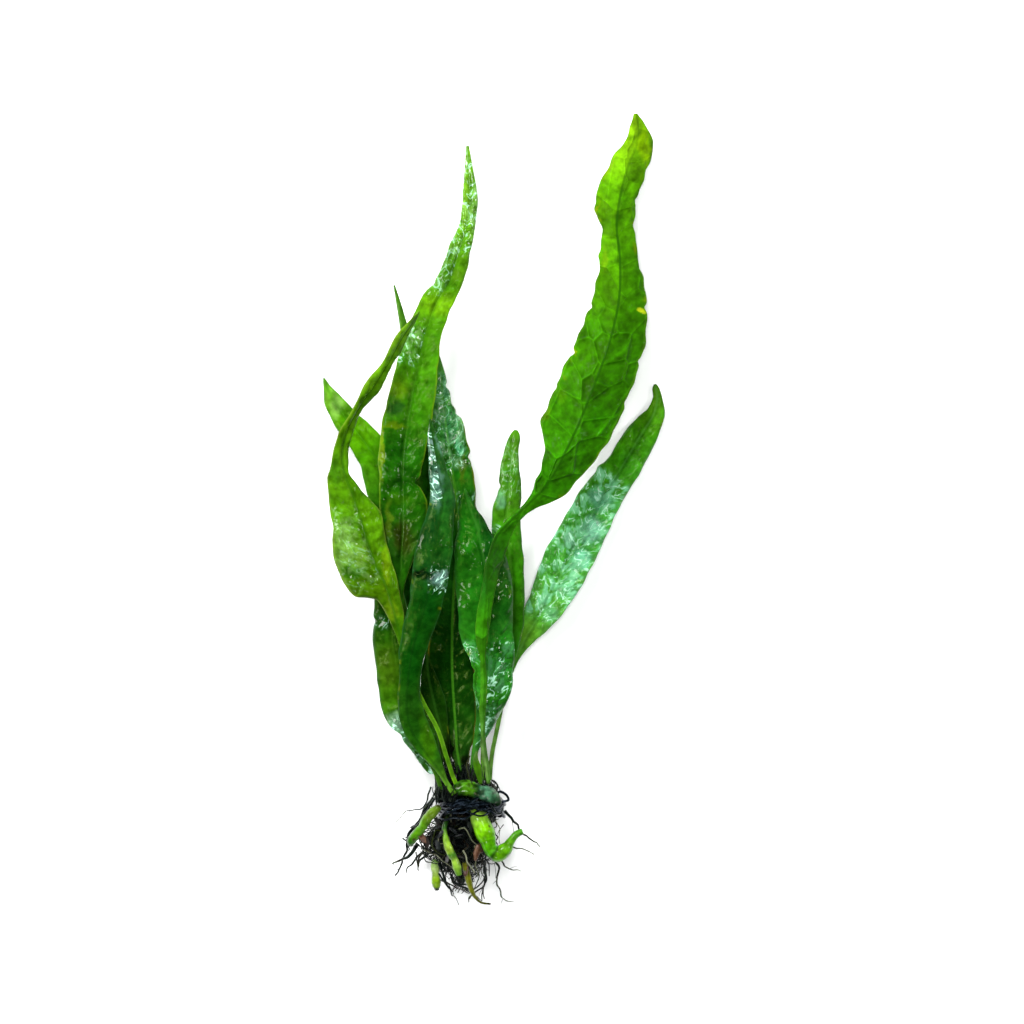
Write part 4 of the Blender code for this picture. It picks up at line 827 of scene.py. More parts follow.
def leafMaterial(name, spec, start):
    # Living leaf with a wet cuticle: deep green blotches, faint veins, a tight clear gloss, and painted
    # shade, sheen and glints in its colour
    material, add, shade = newMaterial(name + "_wet_leaf")
    look, masks, gain = leafLooks, leafMasks, leafSizes["gain"]
    here = add("TexCoord").outputs["Object"]
    height = add("SeparateXYZ", None, [here]).outputs["Y"]
    veins = add("UVMap", {"uv_map": "veins"})
    across = add("SeparateXYZ", None, [veins]).outputs["Y"]
    along, spread = add("SeparateXYZ", None, [add("UVMap", {"uv_map": "place"})]).outputs[:2]
    crinkle = add("Attribute", {"attribute_name": "crinkle"}).outputs["Fac"]
    rumpled = add("MapRange", smooth, [crinkle, *masks["rumpled"]])
    inMm = add("VectorMath", "SCALE", {0: veins, "Scale": 10.0})
    noise = {}
    for space, unitSize, table in ((here, mm, leafNoises), (inMm, 1, bladeNoises)):
        for label, (size, detail, distortion) in table.items():
            noise[label] = add("TexNoise", None, {"Vector": space, "Scale": 1 / (size * unitSize),
                                                  "Detail": detail, "Distortion": distortion})
    # distances from the middle of a noise, from the rib and from the middle of the blade
    away = {}
    for label, source, level in (("crease", noise["crease"], 0.5), ("thread", noise["thread"], 0.52),
                                 ("rib", across, 0), ("middle", spread, 0.5)):
        away[label] = add("Math", "ABSOLUTE", [add("Math", "SUBTRACT", [source, level])])

    # tone along the leaf, then layers over it: a tone with its mask, or None with a brightness
    low, high = spec["colours"][0][0], spec["colours"][-1][0]
    colour = add("ValToRGB", None, [add("MapRange", None, [height, low * mm, high * mm])])
    setStops(colour, [((y - low) / (high - low), tone) for y, tone in spec["colours"]], gain)

    # painted shade on the half that often faces away from the light; deep blotches are about a centimetre
    # wide
    layers = [(spec["right"], add("MapRange", smooth, [spread, *masks["half"], 0, spec["rightShare"]])),
              (spec["deep"], add("MapRange", smooth, [noise["cloud"], *masks["blotch"], 0, spec["blotch"]]))]

    # this leaf's own patches, partly its own tones and partly painted light: deep where it is thick, lime
    # where light shines through it, painted shade where it is folded or in a hollow, and pale mint painted
    # highlights
    swirl = add("VectorMath", "SUBTRACT", [noise["swirl"].outputs["Color"], grey])
    swirl = add("VectorMath", "SCALE", {0: swirl, "Scale": look["stray"] * mm})
    strayed = add("VectorMath", "ADD", [here, swirl])
    for x, y, halfX, halfY, tone, strength in spec["patches"]:
        offset = add("VectorMath", "SUBTRACT", [strayed, (x * mm, y * mm, 0)])
        offset = add("VectorMath", "MULTIPLY", [offset, (1 / (halfX * mm), 1 / (halfY * mm), 0)])
        far = add("VectorMath", "LENGTH", [offset]).outputs["Value"]
        layers.append((tone, add("MapRange", smooth, [far, *masks["patch"], strength, 0])))
    layers.append((None, add("MapRange", None, [noise["mottle"], *masks["mottle"], *look["mottle"]])))

    # the same net of veins as the relief, then a finer net inside each cell; every cell has its own tone
    crumpled = add("Math", clampedSum, [crinkle, *leafSizes["crumple"]])
    nets, lines = [], []
    for fine, part in look["nets"]:
        spot = add("Mapping", None, {"Vector": veins, "Location": (0, 0, start),
                                     "Scale": (*(10 / cell / fine for cell in spec["cell"]), 1)})
        nets.append(add("TexVoronoi", {"feature": "DISTANCE_TO_EDGE"}, {"Vector": spot, **cellGrid}))
        lines.append(add("MapRange", smooth, [nets[-1], 0, look["lineWidth"] / fine, part * spec["net"], 0]))
        layers.append((None, add("Math", "MULTIPLY_ADD", [lines[-1], crumpled, 1.0])))
        cell = add("TexVoronoi", None, {"Vector": spot, **cellGrid}).outputs["Color"]
        level = add("SeparateXYZ", None, [cell])
        change = look["cellTone"] * part * spec["net"]
        layers.append((None, add("MapRange", None, [level, 0, 1, 1 - change, 1 + change])))

    # painted shade: fine dark creases where the blade is crumpled, the same noise as the bump below
    dark = add("MapRange", smooth, [away["crease"], *masks["crease"], spec["crease"], 0])
    dark = add("Math", "MULTIPLY", [dark, rumpled])
    layers.append((None, add("Math", "SUBTRACT", [1.0, dark])))

    # midrib with its span, mostly in its own tone, though tall_right's dark rib line is painted shade; then a
    # pale and here and there yellowed margin
    onRib = add("MapRange", smooth, [away["rib"], *masks["rib"], spec["ribShare"], 0])
    begins, ends = spec["ribSpan"]
    softBegin, softEnd = look["ribFades"]
    for where, soft, before, after in ((begins, softBegin, 0, 1), (ends, softEnd, 1, look["ribEnd"])):
        if 0 < where < 1:
            fade = add("MapRange", smooth, [along, where - soft, where + soft, before, after])
            onRib = add("Math", "MULTIPLY", [onRib, fade])
    nearMargin = add("MapRange", smooth, [away["middle"], *masks["nearMargin"]])
    aged = add("MapRange", smooth, [noise["ageing"], *masks["ageing"], 0, look["ageShare"]])
    layers += [(spec["rib"], onRib),
               (spec["margin"], add("MapRange", smooth, [away["middle"], *masks["margin"], 0, spec["edge"]])),
               (look["ageTone"], add("Math", "MULTIPLY", [aged, nearMargin]))]

    # painted sheen: a milky reflection painted into the colour on the crests of the crinkles, the same noise
    # as the relief
    milk, milkShare = spec["milk"]
    lit = add("MapRange", smooth, [noise["film"], *masks["film"], 0, look["milkShare"] * milkShare])
    lit = add("Math", "MULTIPLY", [lit, add("MapRange", smooth, [noise["crest"], *masks["crest"]])])
    layers.append((milk, add("Math", "MULTIPLY", [lit, rumpled])))
    for tone, amount in layers:
        if tone is None:
            colour = add("VectorMath", "SCALE", {0: colour, "Scale": amount})
        else:
            colour = add("Mix", {"data_type": "RGBA"},
                         {0: amount, 6: colour, 7: linearColour(tone, gain)}).outputs[2]

    # painted highlights: bright threads of reflected light between the crinkles
    thread = add("MapRange", smooth, [away["thread"], *masks["thread"], 1, 0])
    speck = add("MapRange", smooth, [noise["mottle"], *masks["speck"], 0, spec["thread"]])
    thread = add("Math", "MULTIPLY", [thread, speck])
    thread = add("Math", "MULTIPLY", [thread, rumpled])
    colour = add("Mix", {"data_type": "RGBA"}, {
        0: thread, 6: colour, 7: linearColour(look["threadTone"], look["threadGain"])}).outputs[2]

    # gloss that comes and goes, and a surface with a fine grain
    rough = add("MapRange", None, [noise["mottle"], *masks["gloss"], *spec["gloss"]])
    rough = add("Math", "MULTIPLY_ADD", [nearMargin, look["marginRough"], rough])
    ridge = add("Math", "MULTIPLY", [away["crease"], crinkle])
    relief = noise["grain"]
    for source, amount in ((nets[1], "netBump"), (lines[0], "lineBump"), (ridge, "creaseBump")):
        relief = add("Math", "MULTIPLY_ADD", [source, look[amount], relief])
    strength = add("Math", clampedSum, [crinkle, *look["bumpStrength"]])
    coat = add("MapRange", None, [crinkle, *masks["coat"], look["driestCoat"] * spec["coat"], spec["coat"]])
    bump = add("Bump", None, {"Height": relief, "Strength": strength, "Distance": look["bump"] * mm})
    shade({"Base Color": colour, "Roughness": rough, "Normal": bump, "Coat Weight": coat, **look["shader"]})
    return material


leafTree = reliefTree()
for number, (name, own) in enumerate(leaves.items()):
    spec = {**usualLeaf, **own}
    start = leafSizes["seedStep"] * number
    item = grow(name + "_leaf", leafMesh(name, spec), leafTree, {
        **reliefSizes, "Cell Length": spec["cell"][0], "Cell Width": spec["cell"][1],
        "Swell": spec["pucker"], "Vein Width": spec["veinWidth"],
        "Wrinkle Height": reliefSizes["Wrinkle Height"] * spec["wrinkle"],
        "Seed": start, "Material": leafMaterial(name, spec, start)})
    for label in ("net", "lift", "relief"):
        item.data.attributes.remove(item.data.attributes[label])
    place(item, "frond_" + name)
print("leaves grown:", len(leaves))


# Rhizomes, roots and tie, which all follow paths

def polyline(name, strands):
    # Edges along each strand; every point knows its radius, its share of the way and its strand's tone
    points, edges, marks = [], [], []
    for path, radii, tone in strands:
        first = len(points)
        points.extend((np.asarray(path) * mm).tolist())
        share = np.linspace(0, 1, len(path))
        marks.extend(zip(np.asarray(radii) * mm, share, np.broadcast_to(tone, len(path))))
        edges.extend((first + i, first + i + 1) for i in range(len(path) - 1))
    mesh = bpy.data.meshes.new(name)
    mesh.from_pydata(points, edges, [])
    pointValues(mesh, dict(zip(("thick", "along", "tone"), np.array(marks).T)))
    return mesh


strandSizes = {"Sides": 8, "Lump Height": 0.1, "Lump Size": 0.8, "Seed": 0.0, "Material": None}


def tubeTree():
    # A round strand along every path, with lumps
    tree, add, given = newTree("strand_along_path", strandSizes)
    curve = add("GeometryNodeMeshToCurve", None, {"Mesh": given["Geometry"]})
    thick = add("GeometryNodeInputNamedAttribute", {"data_type": "FLOAT"}, {"Name": "thick"})
    ring = add("GeometryNodeCurvePrimitiveCircle", None, {"Radius": 1.0, "Resolution": given["Sides"]})
    tube = add("GeometryNodeCurveToMesh", None, {
        "Curve": curve, "Profile Curve": ring, "Scale": thick, "Fill Caps": True})
    lump = add("TexNoise", {"noise_dimensions": "4D"}, {
        "Vector": add("GeometryNodeInputPosition"), "W": given["Seed"], "Detail": 2.0,
        "Scale": add("Math", "DIVIDE", [1 / mm, given["Lump Size"]])})
    metres = add("Math", "MULTIPLY", [given["Lump Height"], mm])
    height = add("Math", "MULTIPLY", [add("Math", "SUBTRACT", [lump, 0.5]), metres])
    offset = add("VectorMath", "SCALE", {0: add("GeometryNodeInputNormal"), "Scale": height})
    moved = add("GeometryNodeSetPosition", None, {"Geometry": tube, "Offset": offset})
    return endTree(tree, moved, given["Material"])


def smoothPath(rows, step):
    # Points, lengths along the path, and what else the rows hold
    rows = np.array(rows, dtype=float)
    knots = knotsOf(rows[:, :3])
    places = placesBetween(knots, [step] * (len(knots) - 1))
    return between(knots, rows[:, :3], places), places, between(knots, rows[:, 3:], places, steady=True)


# Points of each rhizome with its radius there
rhizomes = {
    "front": [
        (-16.3, -77.9, 18.4, 0.7), (-13.5, -77.9, 18.4, 0.9), (-11, -77.6, 18.8, 1.2),
        (-9.6, -76.9, 19.4, 2), (-7.6, -76.6, 19.6, 2.3), (-5.8, -77.1, 19.4, 2), (-4.2, -77.7, 19.4, 2.1),
        (-2, -78.3, 19.3, 2.2), (0, -79.4, 18.8, 1.8), (1.5, -81, 18, 1),
    ],
    "middle": [
        (-16, -77.7, 14.7, 1.1), (-14.2, -77.6, 14.7, 1.9), (-10, -77.5, 14.8, 1.8), (-6, -77.6, 14.7, 2),
        (-2.5, -77.7, 14.7, 1.9), (0.4, -77.9, 14.7, 1.1),
    ],
    "back": [
        (-15.6, -77.6, 10.3, 1.1), (-13.6, -77.5, 10.3, 1.9), (-9, -77.4, 10.3, 1.8),
        (-4.5, -77.6, 10.4, 1.9), (-1, -77.6, 10.5, 1.9), (1, -77.8, 10.5, 1.1),
    ],
    "right": [
        (-4.6, -81.4, 16.6, 1.5), (-4.1, -84.8, 17.2, 2), (-2.8, -88.2, 17.7, 2.3), (-1.7, -91, 17.7, 2),
        (-0.9, -93.4, 17.6, 1.6), (1, -94.8, 17.6, 2), (3.1, -93.6, 17.6, 1.6), (4.7, -91.2, 17.6, 0.95),
        (6.2, -89.4, 17.7, 0.8), (7.9, -88.6, 17.9, 0.75),
    ],
    "left": [
        (-15, -81.9, 19.4, 0.9), (-16.8, -83.4, 18.4, 1.25), (-18.6, -85.6, 17, 1.3),
        (-19.6, -87.4, 16, 1.1), (-21.2, -89.4, 14.6, 1.25), (-22.8, -91.6, 13.2, 1.1),
        (-23, -92.6, 12.6, 0.7),
    ],
    "lower": [
        (-12, -81.4, 15, 0.6), (-12.6, -84.6, 15, 0.65), (-13.6, -87.8, 16.2, 0.6),
        (-13, -91.4, 16.7, 0.9), (-11.6, -95, 16.6, 1.15), (-10.9, -96.2, 16.4, 0.85),
        (-10.2, -98.4, 16, 1.15), (-9.6, -100.6, 15.4, 0.8),
    ],
    "stub_left": [
        (-16.3, -96.6, 10.2, 0.7), (-16.2, -98.6, 9.7, 1.1), (-16.1, -100.8, 9, 1),
        (-15.9, -103.2, 8.2, 1.15), (-15.7, -105, 7.6, 0.6),
    ],
    "stub_right": [
        (-8.2, -97.2, 14.9, 0.6), (-7.4, -100.4, 14, 0.85), (-6.6, -103.6, 12.8, 0.75),
        (-5.6, -106.2, 11.4, 0.5), (-3.6, -108.4, 9.6, 0.3), (-1, -108.9, 8, 0.2),
    ],
}

# Slot, spacing of the leaf scars, and tones at shares of the way
rhizomeLooks = {
    # the front one's near-black ends are painted shade where the stalks' feet and the tie cover it
    "front": ("rhizome_green", 5, [
        (0, "#060A04"), (0.3, "#0C1606"), (0.36, "#2C660C"), (0.5, "#5CA418"), (0.57, "#4A8C14"),
        (0.62, "#1C4A24"), (0.72, "#5C9A74"), (0.88, "#3A7048"), (1, "#0A1A0A"),
    ]),
    "middle": ("rhizome_green", 4, [
        (0, "#10180A"), (0.5, "#2A4A10"), (1, "#10180A"),
    ]),
    "back": ("rhizome_green", 4, [
        (0, "#10180A"), (0.5, "#1E3A10"), (1, "#10180A"),
    ]),
    "right": ("rhizome_green", 9.6, [
        (0, "#A8D84C"), (0.12, "#B0E850"), (0.24, "#8CDC0C"), (0.42, "#66C804"), (0.53, "#4CA808"),
        (0.57, "#245A08"), (0.62, "#68B808"), (0.78, "#5CA812"), (1, "#4A9A20"),
    ]),
    "left": ("rhizome_green", 4.2, [
        (0, "#5A7C14"), (0.25, "#749C1C"), (0.45, "#64A814"), (0.75, "#569A0C"), (0.9, "#2A6A0C"),
        (1, "#16380A"),
    ]),
    "lower": ("rhizome_pale", 4.4, [
        (0, "#1A3A10"), (0.34, "#245418"), (0.42, "#7AB428"), (0.62, "#A8D040"), (0.7, "#3A7A18"),
        (0.78, "#A0CC44"), (1, "#5C9820"),
    ]),
    "stub_left": ("rhizome_pale", 3.6, [
        (0, "#8AB860"), (0.3, "#B8D878"), (0.6, "#A0D020"), (0.84, "#8AB828"), (0.92, "#0F140A"),
        (1, "#0F140A"),
    ]),
    "stub_right": ("rhizome_pale", 2.6, [
        (0, "#6A6A18"), (0.4, "#8A9218"), (0.7, "#6A6A10"), (1, "#2A2A10"),
    ]),
}
rhizomeSizes = {
    "step": 0.25, "sides": 32, "swell": {"front": 1.0, "right": 1.18}, "usualSwell": 1.08,
    "scarDepth": 0.1, "scarWidth": 0.3, "lump": {"front": 0.8, "right": 0.25}, "usualLump": 0.35,
    "lumpSize": {"front": 1.4, "right": 4.0}, "usualLumpSize": 3.0,
    # tones: how dark the clouds and how brown the specks are
    "gain": 0.42, "darkest": {"front": 0.2}, "usualDarkest": 0.6, "brightest": 1.3, "cloud": (1.6, 4),
    "cloudMask": (0.35, 0.65), "speck": 3.4, "speckMask": (0.08, 0.2), "speckTone": "#3A2A0C",
    "speckShare": 0.85, "wobble": (0.04, 1.3),
}


def rhizomeMaterial(name, tones):
    # Fleshy creeping stem, smooth and wet: lime where it is young, dark rings at the old leaf scars
    size = rhizomeSizes
    material, add, shade, here, ramp = skinMaterial(name + "_rhizome_skin", "along", {
        "noises": [(2.4, 3), (0.6, 4)], "shift": 0.12, "stops": tones, "gain": size["gain"],
        "rough": (0.24, 0.46), "bump": (0.4, 0.08),
        "shader": {"Specular IOR Level": 0.2, "Specular Tint": linearColour("#C8F080"),
                   "Coat Weight": 0.35, "Coat Roughness": 0.12}})
    wide, detail = size["cloud"]
    cloud = add("TexNoise", None, {"Vector": here, "Scale": 1 / (wide * mm), "Detail": detail})
    darkest = size["darkest"].get(name, size["usualDarkest"])
    amount = add("MapRange", None, [cloud, *size["cloudMask"], darkest, size["brightest"]])
    colour = add("VectorMath", "SCALE", {0: ramp, "Scale": amount})
    speck = add("TexVoronoi", None, {"Vector": here, "Scale": 1 / (size["speck"] * mm)})
    mark = add("MapRange", smooth, [speck, *size["speckMask"], size["speckShare"], 0])
    brown = linearColour(size["speckTone"], size["gain"])
    shade({"Base Color": add("Mix", {"data_type": "RGBA"}, {0: mark, 6: colour, 7: brown}).outputs[2]})
    return material


strandTree = tubeTree()
for number, (name, rows) in enumerate(rhizomes.items()):
    size = rhizomeSizes
    slot, gap, tones = rhizomeLooks[name]
    path, places, radii = smoothPath(rows, size["step"])
    rings = np.exp(-((np.mod(places + gap / 2, gap) - gap / 2) / size["scarWidth"]) ** 2)
    swell = size["swell"].get(name, size["usualSwell"])
    height, rate = size["wobble"]
    radii = radii[:, 0] * swell * (1 + height * np.sin(places * rate + number))
    radii = radii - size["scarDepth"] * rings * ease(radii)
    item = grow(name + "_rhizome", polyline(name, [(path, radii, 0.5)]), strandTree, {
        "Sides": size["sides"], "Lump Height": size["lump"].get(name, size["usualLump"]),
        "Lump Size": size["lumpSize"].get(name, size["usualLumpSize"]), "Seed": number,
        "Material": rhizomeMaterial(name, tones)})
    place(item, "rhizome_" + name)
print("rhizomes grown:", len(rhizomes))


# Radius and points of each single root
roots = {
    "left_high": (0.3, [
        (-17.3, -76.4, 17.2), (-18.2, -79.6, 17), (-20, -82.2, 16.2), (-23, -82.9, 14.6),
        (-25.6, -84.6, 12.6), (-27.5, -86.5, 11),
    ]),
    "left_outer": (0.7, [
        (-16.6, -79.6, 13), (-19.2, -83.6, 12.4), (-21.8, -87.4, 11), (-23.8, -91.2, 8.8), (-24.2, -94, 7),
        (-25.2, -97.6, 4.6), (-27.5, -101.2, 2),
    ]),
    "left_green": (0.7, [
        (-20.9, -92.2, 9.8), (-21.8, -93.4, 9.8), (-23.4, -95.2, 9), (-25.6, -97, 7.4), (-28.2, -98, 5.4),
    ]),
    "left_low": (0.45, [
        (-19.4, -94.6, 5), (-20.8, -95.6, 4.8), (-22.8, -97.8, 3.4), (-24.4, -100.8, 1.4),
    ]),
    "left_inner": (0.5, [
        (-17.2, -94.6, 2), (-18.8, -95.4, 2.2), (-20.4, -97.2, 1.8), (-20.8, -99.8, 0.9),
    ]),
    "bottom_left": (0.55, [
        (-15.2, -97.4, 12.2), (-14.2, -100, 11.8), (-12.9, -103.4, 10.4), (-11.5, -106.8, 8.4),
    ]),
    "bottom_long": (0.4, [
        (-11.8, -101.2, 12.4), (-10.9, -103.4, 11.6), (-8.4, -104.8, 10.2), (-6.6, -105.8, 9),
    ]),
    "right_arc": (0.5, [
        (3, -83, 19.2), (4.1, -84.3, 18.5), (5.3, -85.6, 17.3), (6.9, -87.6, 15.7), (7.8, -89.3, 14.9),
        (9.9, -90.6, 13.6), (13, -93.2, 11),
    ]),
    "bulb_upper": (0.25, [
        (5, -92.9, 16.2), (6.6, -93.4, 15.6), (9, -94.2, 14), (12.2, -95.6, 11.6),
    ]),
    "bulb_lower": (0.3, [
        (2.2, -96.9, 16.4), (3.2, -98.2, 15.4), (4.6, -99, 13.8), (7.2, -100, 11.6),
    ]),
    "right_long": (0.4, [
        (-0.4, -95.6, 14.6), (1, -98.4, 13.4), (0.9, -102.2, 11), (1.4, -105.2, 8), (3.2, -108, 4.4),
        (5.2, -108.8, 2),
    ]),
    "right_bottom": (0.45, [
        (-2.6, -96.8, 12), (-2.4, -100.2, 10.8), (-2.9, -103.6, 8.6), (-4.6, -105.2, 6.8),
        (-6.8, -107.8, 4.2),
    ]),
    "top_right": (0.3, [
        (-0.2, -74.9, 17.2), (0.6, -75.5, 17.1), (1.5, -76.6, 16.6), (2, -78.2, 15.4),
    ]),
}

rootLooks = {
    "slim": 0.86, "step": 0.35, "wiggle": 0.24, "tipShare": 0.35,
    "rootletGap": 7.0, "rootletStart": (1.5, 4), "rootletLength": 3.6, "rootletPart": (0.4, 1.3),
    "rootletRadius": 0.09, "rootletWiggle": 0.25, "rootletPoints": 10, "rootletTone": 0.4,
    "forward": 1.1, "hook": 0.08,
    # share of the strand's tone at foot and tip, from black at 0 to pale at 1
    "tones": {"bulb_upper": (0.75, 0.95), "bulb_lower": (0.5, 0.9), "right_long": (0.5, 0.85),
              "right_arc": (0.25, 0.8), "left_high": (0.25, 0.85), "left_green": (0.2, 0.78),
              "bottom_long": (0.5, 0.7)},
    "usualTones": (0.15, 0.45),
    # length in mm and share of each wave of a wiry root
    "waves": ((9.0, 1.0), (4.1, 0.5), (1.9, 0.1)),
}

# Wiry root: almost black and horny with a bluish shine, brown, olive or pale where it is thin and young
rootSkin = skinMaterial("black_wiry_root", "tone", {
    "noises": [(2.0, 4), (0.35, 3)], "shift": 0.3, "gain": 0.7, "rough": (0.2, 0.5), "bump": (0.5, 0.05),
    "stops": ((0.0, "#020304"), (0.35, "#04070A"), (0.5, "#0A0F10"), (0.62, "#1E140A"), (0.76, "#2C3A0C"),
              (1.0, "#8A8C74")),
    "shader": {"Specular IOR Level": 0.24, "Specular Tint": linearColour("#C8E8C8")}})[0]


def wiggled(path, places, amount, chance):
    # A wiry root never runs quite straight
    waves = np.zeros_like(path)
    for size, part in rootLooks["waves"]:
        turns = chance.uniform(0, 2 * math.pi, 3)
        waves += part * np.sin(places[:, None] * 2 * math.pi / size + turns)
    return path + amount * waves * ease(places / 3)[:, None]


def rootStrands(name, radius, points, chance):
    look = rootLooks
    path, places = smoothPath(points, look["step"])[:2]
    path = wiggled(path, places, look["wiggle"], chance)
    share = places / places[-1]
    radii = look["slim"] * radius * (1 - (1 - look["tipShare"]) * share)
    foot, tip = look["tones"].get(name, look["usualTones"])
    path[:, 2] = np.maximum(path[:, 2], radii)
    strands = [(path, radii, foot + (tip - foot) * share)]
    for start in np.arange(chance.uniform(*look["rootletStart"]), places[-1], look["rootletGap"]):
        index = int(np.searchsorted(places, start))
        ahead = unit(path[min(index + 2, len(path) - 1)][None] - path[index - 1][None])[0]
        away = unit(np.cross(ahead, chance.normal(size=3))[None])[0]
        heading = unit((ahead * look["forward"] + away)[None])[0]
        length = look["rootletLength"] * chance.uniform(*look["rootletPart"])
        steps = np.linspace(0, length, look["rootletPoints"])
        twig = path[index] + heading * steps[:, None] + ahead * (steps[:, None] ** 2) * look["hook"]
        twig = wiggled(twig, steps, look["rootletWiggle"], chance)
        thin = look["rootletRadius"] * (1 - 0.5 * steps / steps[-1])
        twig[:, 2] = np.maximum(twig[:, 2], thin)
        strands.append((twig, thin, look["rootletTone"] * (1 + steps / steps[-1])))
    return strands


for number, (name, (radius, points)) in enumerate(roots.items()):
    chance = np.random.default_rng(seed + number)
    item = grow(name + "_root", polyline(name, rootStrands(name, radius, points, chance)), strandTree,
                {**strandSizes, "Seed": number, "Material": rootSkin})
    place(item, "root_" + name)
print("roots grown:", len(roots))


# Sections of the tangle: y, x, half width, half depth, z
rootMat = [
    (-81.2, -8.4, 3.2, 2.4, 9.6), (-85.9, -8.6, 4, 3.4, 9.4), (-88, -9.6, 7.8, 6.2, 7.8),
    (-90.5, -10.6, 9.4, 7.6, 7.4), (-93.2, -10.6, 9.2, 7.6, 7.4), (-95.6, -9.4, 7.4, 7, 7.4),
    (-98.2, -8.8, 5, 5.6, 6.8), (-101.2, -8.8, 3, 3.6, 6.2), (-103.4, -8.8, 1.4, 1.6, 5.8),
]

tangle = {
    "coreShare": 0.5, "coreStep": 0.8, "coreSides": 40, "coreLowest": 0.2,
    # height, folds around and twist of the core's lumps
    "coreLumps": ((0.08, 3, 1.3), (0.06, 7, -2.1)),
    # fine roots that run down through the tangle, from a foot in the crown to a depth in its section
    "count": 260, "points": 44, "radius": (0.12, 0.36), "radiusPart": (0.5, 1), "thinning": 0.5,
    "wander": 1.9, "wanderPart": (0.4, 1.1), "spread": 1.3, "spreadFrom": 8,
    "startX": (-15.5, 0.5), "startY": (-86.5, -82.5), "endY": (-102.5, -89), "lowestY": -108.6,
    "footZ": 9, "footSpread": 8, "footPart": (-0.6, 1), "levels": (0.3, 20), "under": 0.15,
    "depth": (0.35, 1.12), "blend": 6,
    # tones from black at 0 to pale at 1, and how often each comes
    "tones": {0.1: 0.3, 0.2: 0.2, 0.3: 0.2, 0.45: 0.12, 0.6: 0.09, 0.72: 0.06, 0.95: 0.03},
    "strayStep": 0.3, "strayWiggle": 0.2, "strayThinning": 0.45,
    # short ones bowed over the core by the tree
    "bowed": {"Density": 0.22, "Length": 11.0, "Bow": 2.4, "Radius": 0.13, "Warp": 3.0},
    "sunk": 0.8, "scale": (0.5, 1.25), "warpSize": 2.6,
    "tube": {"Sides": 6, "Lump Size": 0.7, "Seed": 1},
}

